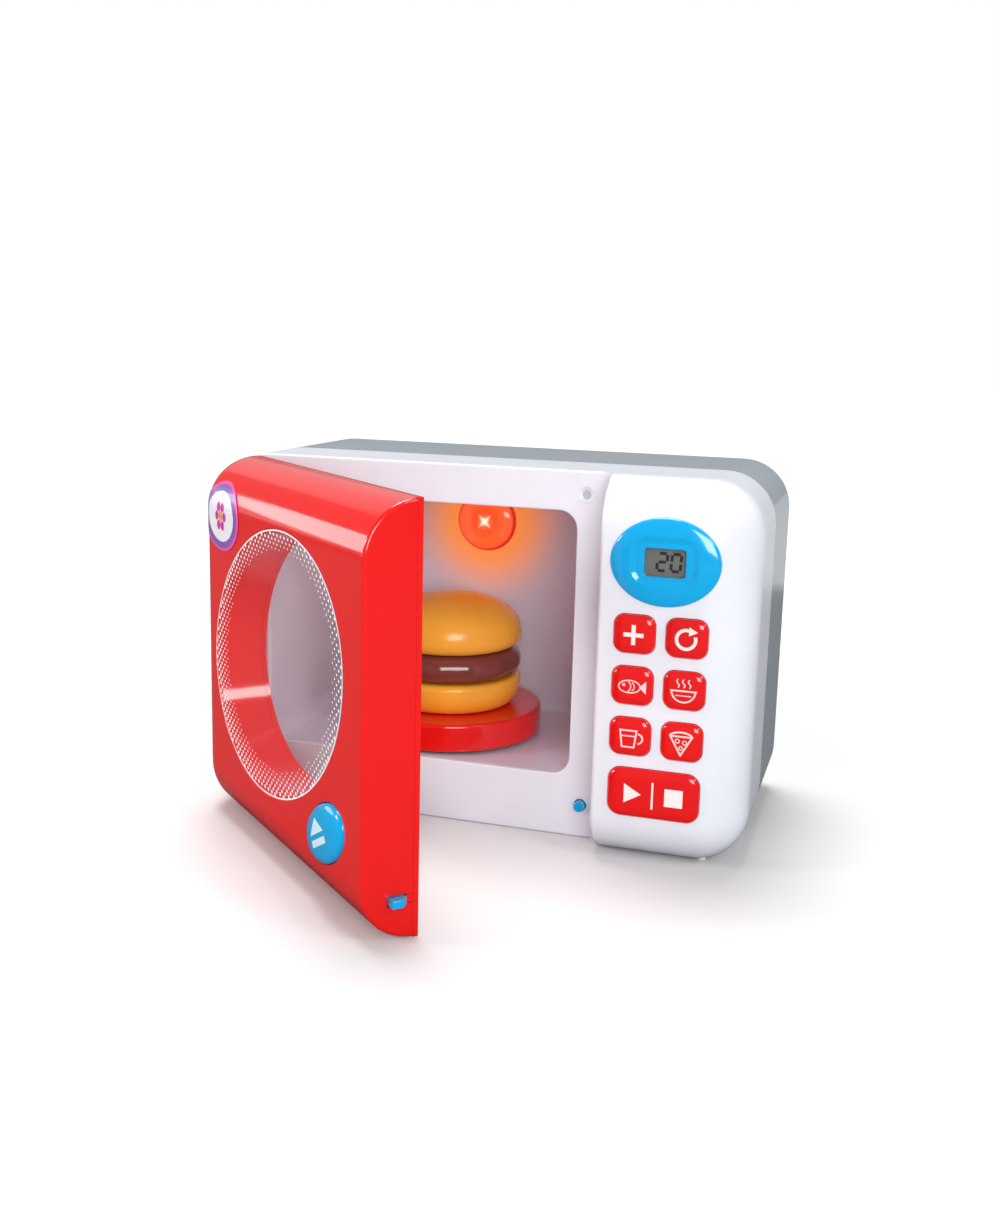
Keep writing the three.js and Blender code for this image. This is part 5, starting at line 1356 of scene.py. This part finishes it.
def sticker_face(x, z):
    return surface_y(x, z) - STICKER_LIFT - 0.02 * MM


place(sticker(), "door_sticker_print", "door", sticker_finish(), ["door_sticker"], door=True)
magenta_print = plastic("magenta_print", paint(206, 40, 160), roughness=0.3)
orange_print = plastic("orange_print", paint(246, 150, 30), roughness=0.3)
for print_name, shapes, ink in (("sticker_flower", petals(6, 5.0, 2.3), magenta_print),
                                ("sticker_centre", petals(1, 0.0, 2.4), orange_print)):
    place(symbol_mesh(print_name, shapes, sticker_face, (STICKER_X, STICKER_Z)), print_name, "door", ink,
          door=True)

# %% [markdown]
# ## Turntable and burger
# These are turned shapes, so each is a profile spun about the turntable's axis. The bun has a fine
# speckle, the patty is a dark glossy disc with a wavy edge. The Screw modifier turns a profile as well,
# but circles skinned one on the other close at both poles by themselves.

# %% Turntable
CORE = 0.4 * MM
TABLE = {"edge": 2 * MM, "foot": 0.6 * MM, "skin": 2.4 * MM, "top": 3.5 * MM, "boss": 8 * MM, "bore": 5 * MM,
         "bore_depth": 5.6 * MM}


def table_disc():
    low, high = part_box("turntable")
    radius = (high.x - low.x) / 2
    edge, foot, rim, under = TABLE["edge"], TABLE["foot"], radius - TABLE["skin"], high.z - TABLE["top"]
    boss, bore, bore_top = TABLE["boss"], TABLE["bore"], low.z + TABLE["bore_depth"]
    profile = [(CORE, high.z), (radius - 7 * MM, high.z), (radius - 6.2 * MM, high.z)]
    profile += arc(radius - edge, high.z - edge, edge, edge, 90, 0, 10)
    profile += [(radius, low.z + foot), (radius - foot, low.z), (rim, low.z), (rim, under)]
    profile += [(boss, under), (boss, low.z), (bore, low.z), (bore, bore_top), (CORE, bore_top)]
    return smooth(spun("table", profile, TABLE_X, TABLE_Y, 96))


place(table_disc(), "turntable_disc", "turntable", red_plastic, ["turntable"])


# %% Bun and patty finishes
def bun_finish():
    """Orange plastic with a fine raised speckle."""
    material = plastic("bun_plastic", paint(255, 178, 56), roughness=0.26, mottle=0.05, translucency=0.15,
                       coat=0.15)
    net, shader = opened(material)
    grains = net.add("ShaderNodeTexVoronoi", {"Vector": net.object_place(), "Scale": 420})["Distance"]
    bump = net.add("ShaderNodeBump", {"Strength": 0.25, "Distance": 0.3 * MM,
                                      "Height": net.remap(grains, 0.0, 0.35, 1.0, 0.0)})
    net.feed(shader, {"Normal": bump["Normal"]})
    return material


bun_plastic = bun_finish()
patty_plastic = plastic("patty_plastic", paint(128, 60, 54), roughness=0.16, mottle=0.12, waviness=0.5,
                        wave_size=120, coat=0.5)


# %% Bun halves and patty
RIPPLE, RIPPLE_IN = 0.35 * MM, 0.3 * MM


def layer(node):
    """Outer radius, bottom and top of a layer of the burger."""
    low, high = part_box(node)
    return (high.x - low.x) / 2, low.z, high.z


def bottom_bun():
    radius, bottom, top = layer("bottom_bun")
    base, edge = 30 * MM, 3 * MM
    profile = [(CORE, bottom), (base - MM, bottom)]
    profile += arc(base, top - edge, radius - base, top - bottom - edge, -88, 0, 14)
    profile += arc(radius - edge, top - edge, edge, edge, 10, 90, 6) + [(CORE, top)]
    return smooth(spun("bottom_bun", profile, TABLE_X, TABLE_Y))


def patty():
    radius, bottom, top = layer("patty")
    half = (top - bottom) / 2
    profile = [(CORE, bottom)] + arc(radius - half, bottom + half, half, half, -90, 90, 20) + [(CORE, top)]
    disc = spun("patty", profile, TABLE_X, TABLE_Y, 144)
    for vertex in disc.data.vertices:
        u, v = vertex.co.x - TABLE_X, vertex.co.y - TABLE_Y
        reach = math.hypot(u, v)
        if reach > radius * 0.6:
            angle = math.atan2(v, u)
            ripple = RIPPLE * (math.sin(7 * angle) + 0.7 * math.sin(13 * angle + 1.3)) - RIPPLE_IN
            vertex.co.x += ripple * u / reach
            vertex.co.y += ripple * v / reach
    return smooth(disc)


def top_bun():
    radius, bottom, top = layer("top_bun")
    rounding, fullness = 6.3 * MM, 0.85
    middle = bottom + rounding
    profile = [(CORE, bottom)] + arc(radius - rounding, middle, rounding, rounding, -90, 0, 10)
    profile += [(radius * math.cos(math.radians(a)) ** fullness,
                 middle + (top - middle) * math.sin(math.radians(a)) ** fullness) for a in range(4, 88, 4)]
    return smooth(spun("top_bun", profile + [(CORE, top)], TABLE_X, TABLE_Y))


place(bottom_bun(), "bun_base", "bottom_bun", bun_plastic, ["bottom_bun"])
place(patty(), "burger_patty", "patty", patty_plastic, ["patty"])
place(top_bun(), "bun_top", "top_bun", bun_plastic, ["top_bun"])

# %% [markdown]
# ## The pieces inside and underneath
# Hidden pieces keep their CAD solids and only need a finish. The battery hatch underneath is the one that
# shows, so it gets soft arrises.

# %% Finishes for the pieces that stay as they are
NODE_FINISHES = (
    (black_plastic, ("lcd_module", "speaker", "battery_box", "drive_motor")),
    (mat_rubber, ("key_mat",)),
    (board_green, ("control_board", "lamp_board")),
    (pale_plastic, ("door_switch",)),
    (cream_plastic, ("release_cap", "turntable_spindle", "drive_gear", "drive_pinion")),
    (cell_jacket, ("battery_1", "battery_2", "battery_3")),
    (steel, ("shell_screw_1", "shell_screw_2", "shell_screw_3", "shell_screw_4", "hinge_pin_lower",
             "hinge_pin_upper", "release_spring", "contact_strip_front", "contact_strip_rear",
             "battery_door_screw", "button_spring", "latch_spring")))
for finish, node_names in NODE_FINISHES:
    for node_name in node_names:
        finish_with(frame["nodes"][node_name], finish)
place(softened(node_copy("battery_door"), 0.3 * MM), "battery_hatch", "housing", silver_plastic,
      ["battery_door"])

# %% [markdown]
# ## Floor, light and camera
# A pale floor runs on to white, with painted shade that makes it a little darker about the toy, and broad
# soft lamps light the toy from above and both sides, so that the glossy rolls carry long soft highlights. A
# plain white floor would wash out the glossy sides, so the floor is darker where it is seen in a mirror. The
# camera stands where the photographer stood.

# %% Floor
FLOOR_REACH = 6.0
SHADED_NEAR_TONE, FAR_TONE = 0.76, 1.0
NEAR_RING, FAR_RING = 0.22, 0.60
BOUNCED = (0.5, 0.5, 0.5, 1.0)
MIRRORED_NEAR, MIRRORED_FAR = 0.1, 0.45


def floor():
    """A pale floor with painted shade that makes it a little darker about the toy, calm in mirrors and in the
    light it throws back.
    """
    sculpt = bmesh.new()
    corners = [(x * FLOOR_REACH, y * FLOOR_REACH, 0.0) for x, y in ((-1, -1), (1, -1), (1, 1), (-1, 1))]
    sculpt.faces.new([sculpt.verts.new(corner) for corner in corners])
    obj = object_from(sculpt, "floor")
    material, net, shader = new_material("pale_floor")
    seen = net.add("ShaderNodeLightPath")
    spot = net.add("ShaderNodeNewGeometry")["Position"]
    # Painted shade: for the camera the floor is a little darker within NEAR_RING of the toy and fades to
    # plain white by FAR_RING.
    painted_shade_tone = net.remap(net.vector("LENGTH", "Value", spot), NEAR_RING, FAR_RING, SHADED_NEAR_TONE, FAR_TONE)
    behind = net.add("ShaderNodeSeparateXYZ", {"Vector": spot})["Y"]
    mirrored = net.remap(behind, 0.64, 0.70, MIRRORED_NEAR, MIRRORED_FAR)
    plain = net.mix(seen["Is Camera Ray"], BOUNCED, painted_shade_tone)
    net.feed(shader, {"Base Color": net.mix(seen["Is Glossy Ray"], plain, mirrored), "Roughness": 0.9,
                      "Specular IOR Level": 0.0})
    obj.data.materials.append(material)
    return obj


floor()


# %% World and lamps
def studio_world():
    world = bpy.data.worlds.new("studio")
    world.use_nodes = True
    net = Net(world.node_tree)
    seen = net.add("ShaderNodeLightPath")
    unseen = net.remap(seen["Is Glossy Ray"], 0.0, 1.0, 0.4, 0.22)
    net.feed(world.node_tree.nodes["Background"], {
        "Color": (1.0, 1.0, 1.0, 1.0), "Strength": net.remap(seen["Is Camera Ray"], 0.0, 1.0, unseen, 1.0)})
    bpy.context.scene.world = world


def lamp(name, kind, place_at, towards, power, **settings):
    data = bpy.data.lights.new(name, kind)
    data.energy = power
    for setting, value in settings.items():
        setattr(data, setting, value)
    obj = new_object(name, data)
    obj.location = place_at
    obj.rotation_euler = (Vector(towards) - Vector(place_at)).to_track_quat("-Z", "Y").to_euler()
    return obj


SOFT_LAMPS = (
    ("front_lamp", (0.5, -1.05, 0.42), (-0.03, 0.0, 0.09), 6.2, (0.5, 0.5), "RECTANGLE"),
    ("left_lamp", (-0.95, -0.6, 0.5), (-0.05, -0.1, 0.09), 3.4, (0.25, 0.25), "RECTANGLE"),
    ("right_lamp", (1.05, -0.5, 0.92), (0.05, 0.0, 0.09), 2.6, (0.3, 0.3), "RECTANGLE"),
    ("back_lamp", (-0.9, 1.05, 0.75), (0.0, 0.0, 0.15), 0.4, (0.9, 0.5), "RECTANGLE"),
    ("streak_lamp", (-1.0, -0.02, 0.27), (0.0, -0.1, 0.15), 1.3, (0.6, 0.34), "ELLIPSE"))
studio_world()
lamp("sky_lamp", "SUN", (-0.15, 0.2, 0.97), (0.0, 0.0, 0.0), 2.25, angle=math.radians(28))
for lamp_name, place_at, towards, power, (width, height), shape in SOFT_LAMPS:
    lamp(lamp_name, "AREA", place_at, towards, power, shape=shape, size=width, size_y=height)

# %% Camera
FOCAL_PX, FRAME_PX, DROP_PX = 1324.0, 1000.0, -37.07
YAW, PITCH, ROLL = math.radians(17.15), math.radians(10.54), math.radians(1.44)
CAMERA_AT = (196.9 * MM, -646.5 * MM, 243.0 * MM)


def camera():
    data = bpy.data.cameras.new("camera")
    data.sensor_fit = "HORIZONTAL"
    data.sensor_width = 36.0
    data.lens = data.sensor_width * FOCAL_PX / FRAME_PX
    data.shift_y = DROP_PX / FRAME_PX
    data.clip_start = 0.01
    ahead = Vector((-math.sin(YAW) * math.cos(PITCH), math.cos(YAW) * math.cos(PITCH), -math.sin(PITCH)))
    right = Vector((math.cos(YAW), math.sin(YAW), 0.0))
    up = right.cross(ahead)
    tilted_right = right * math.cos(ROLL) + up * math.sin(ROLL)
    tilted_up = up * math.cos(ROLL) - right * math.sin(ROLL)
    turn = Matrix((tilted_right, tilted_up, -ahead)).transposed().to_4x4()
    obj = new_object("camera", data)
    obj.matrix_world = Matrix.Translation(CAMERA_AT) @ turn
    bpy.context.scene.camera = obj
    return obj


camera()
bpy.context.scene.view_settings.view_transform = "Standard"
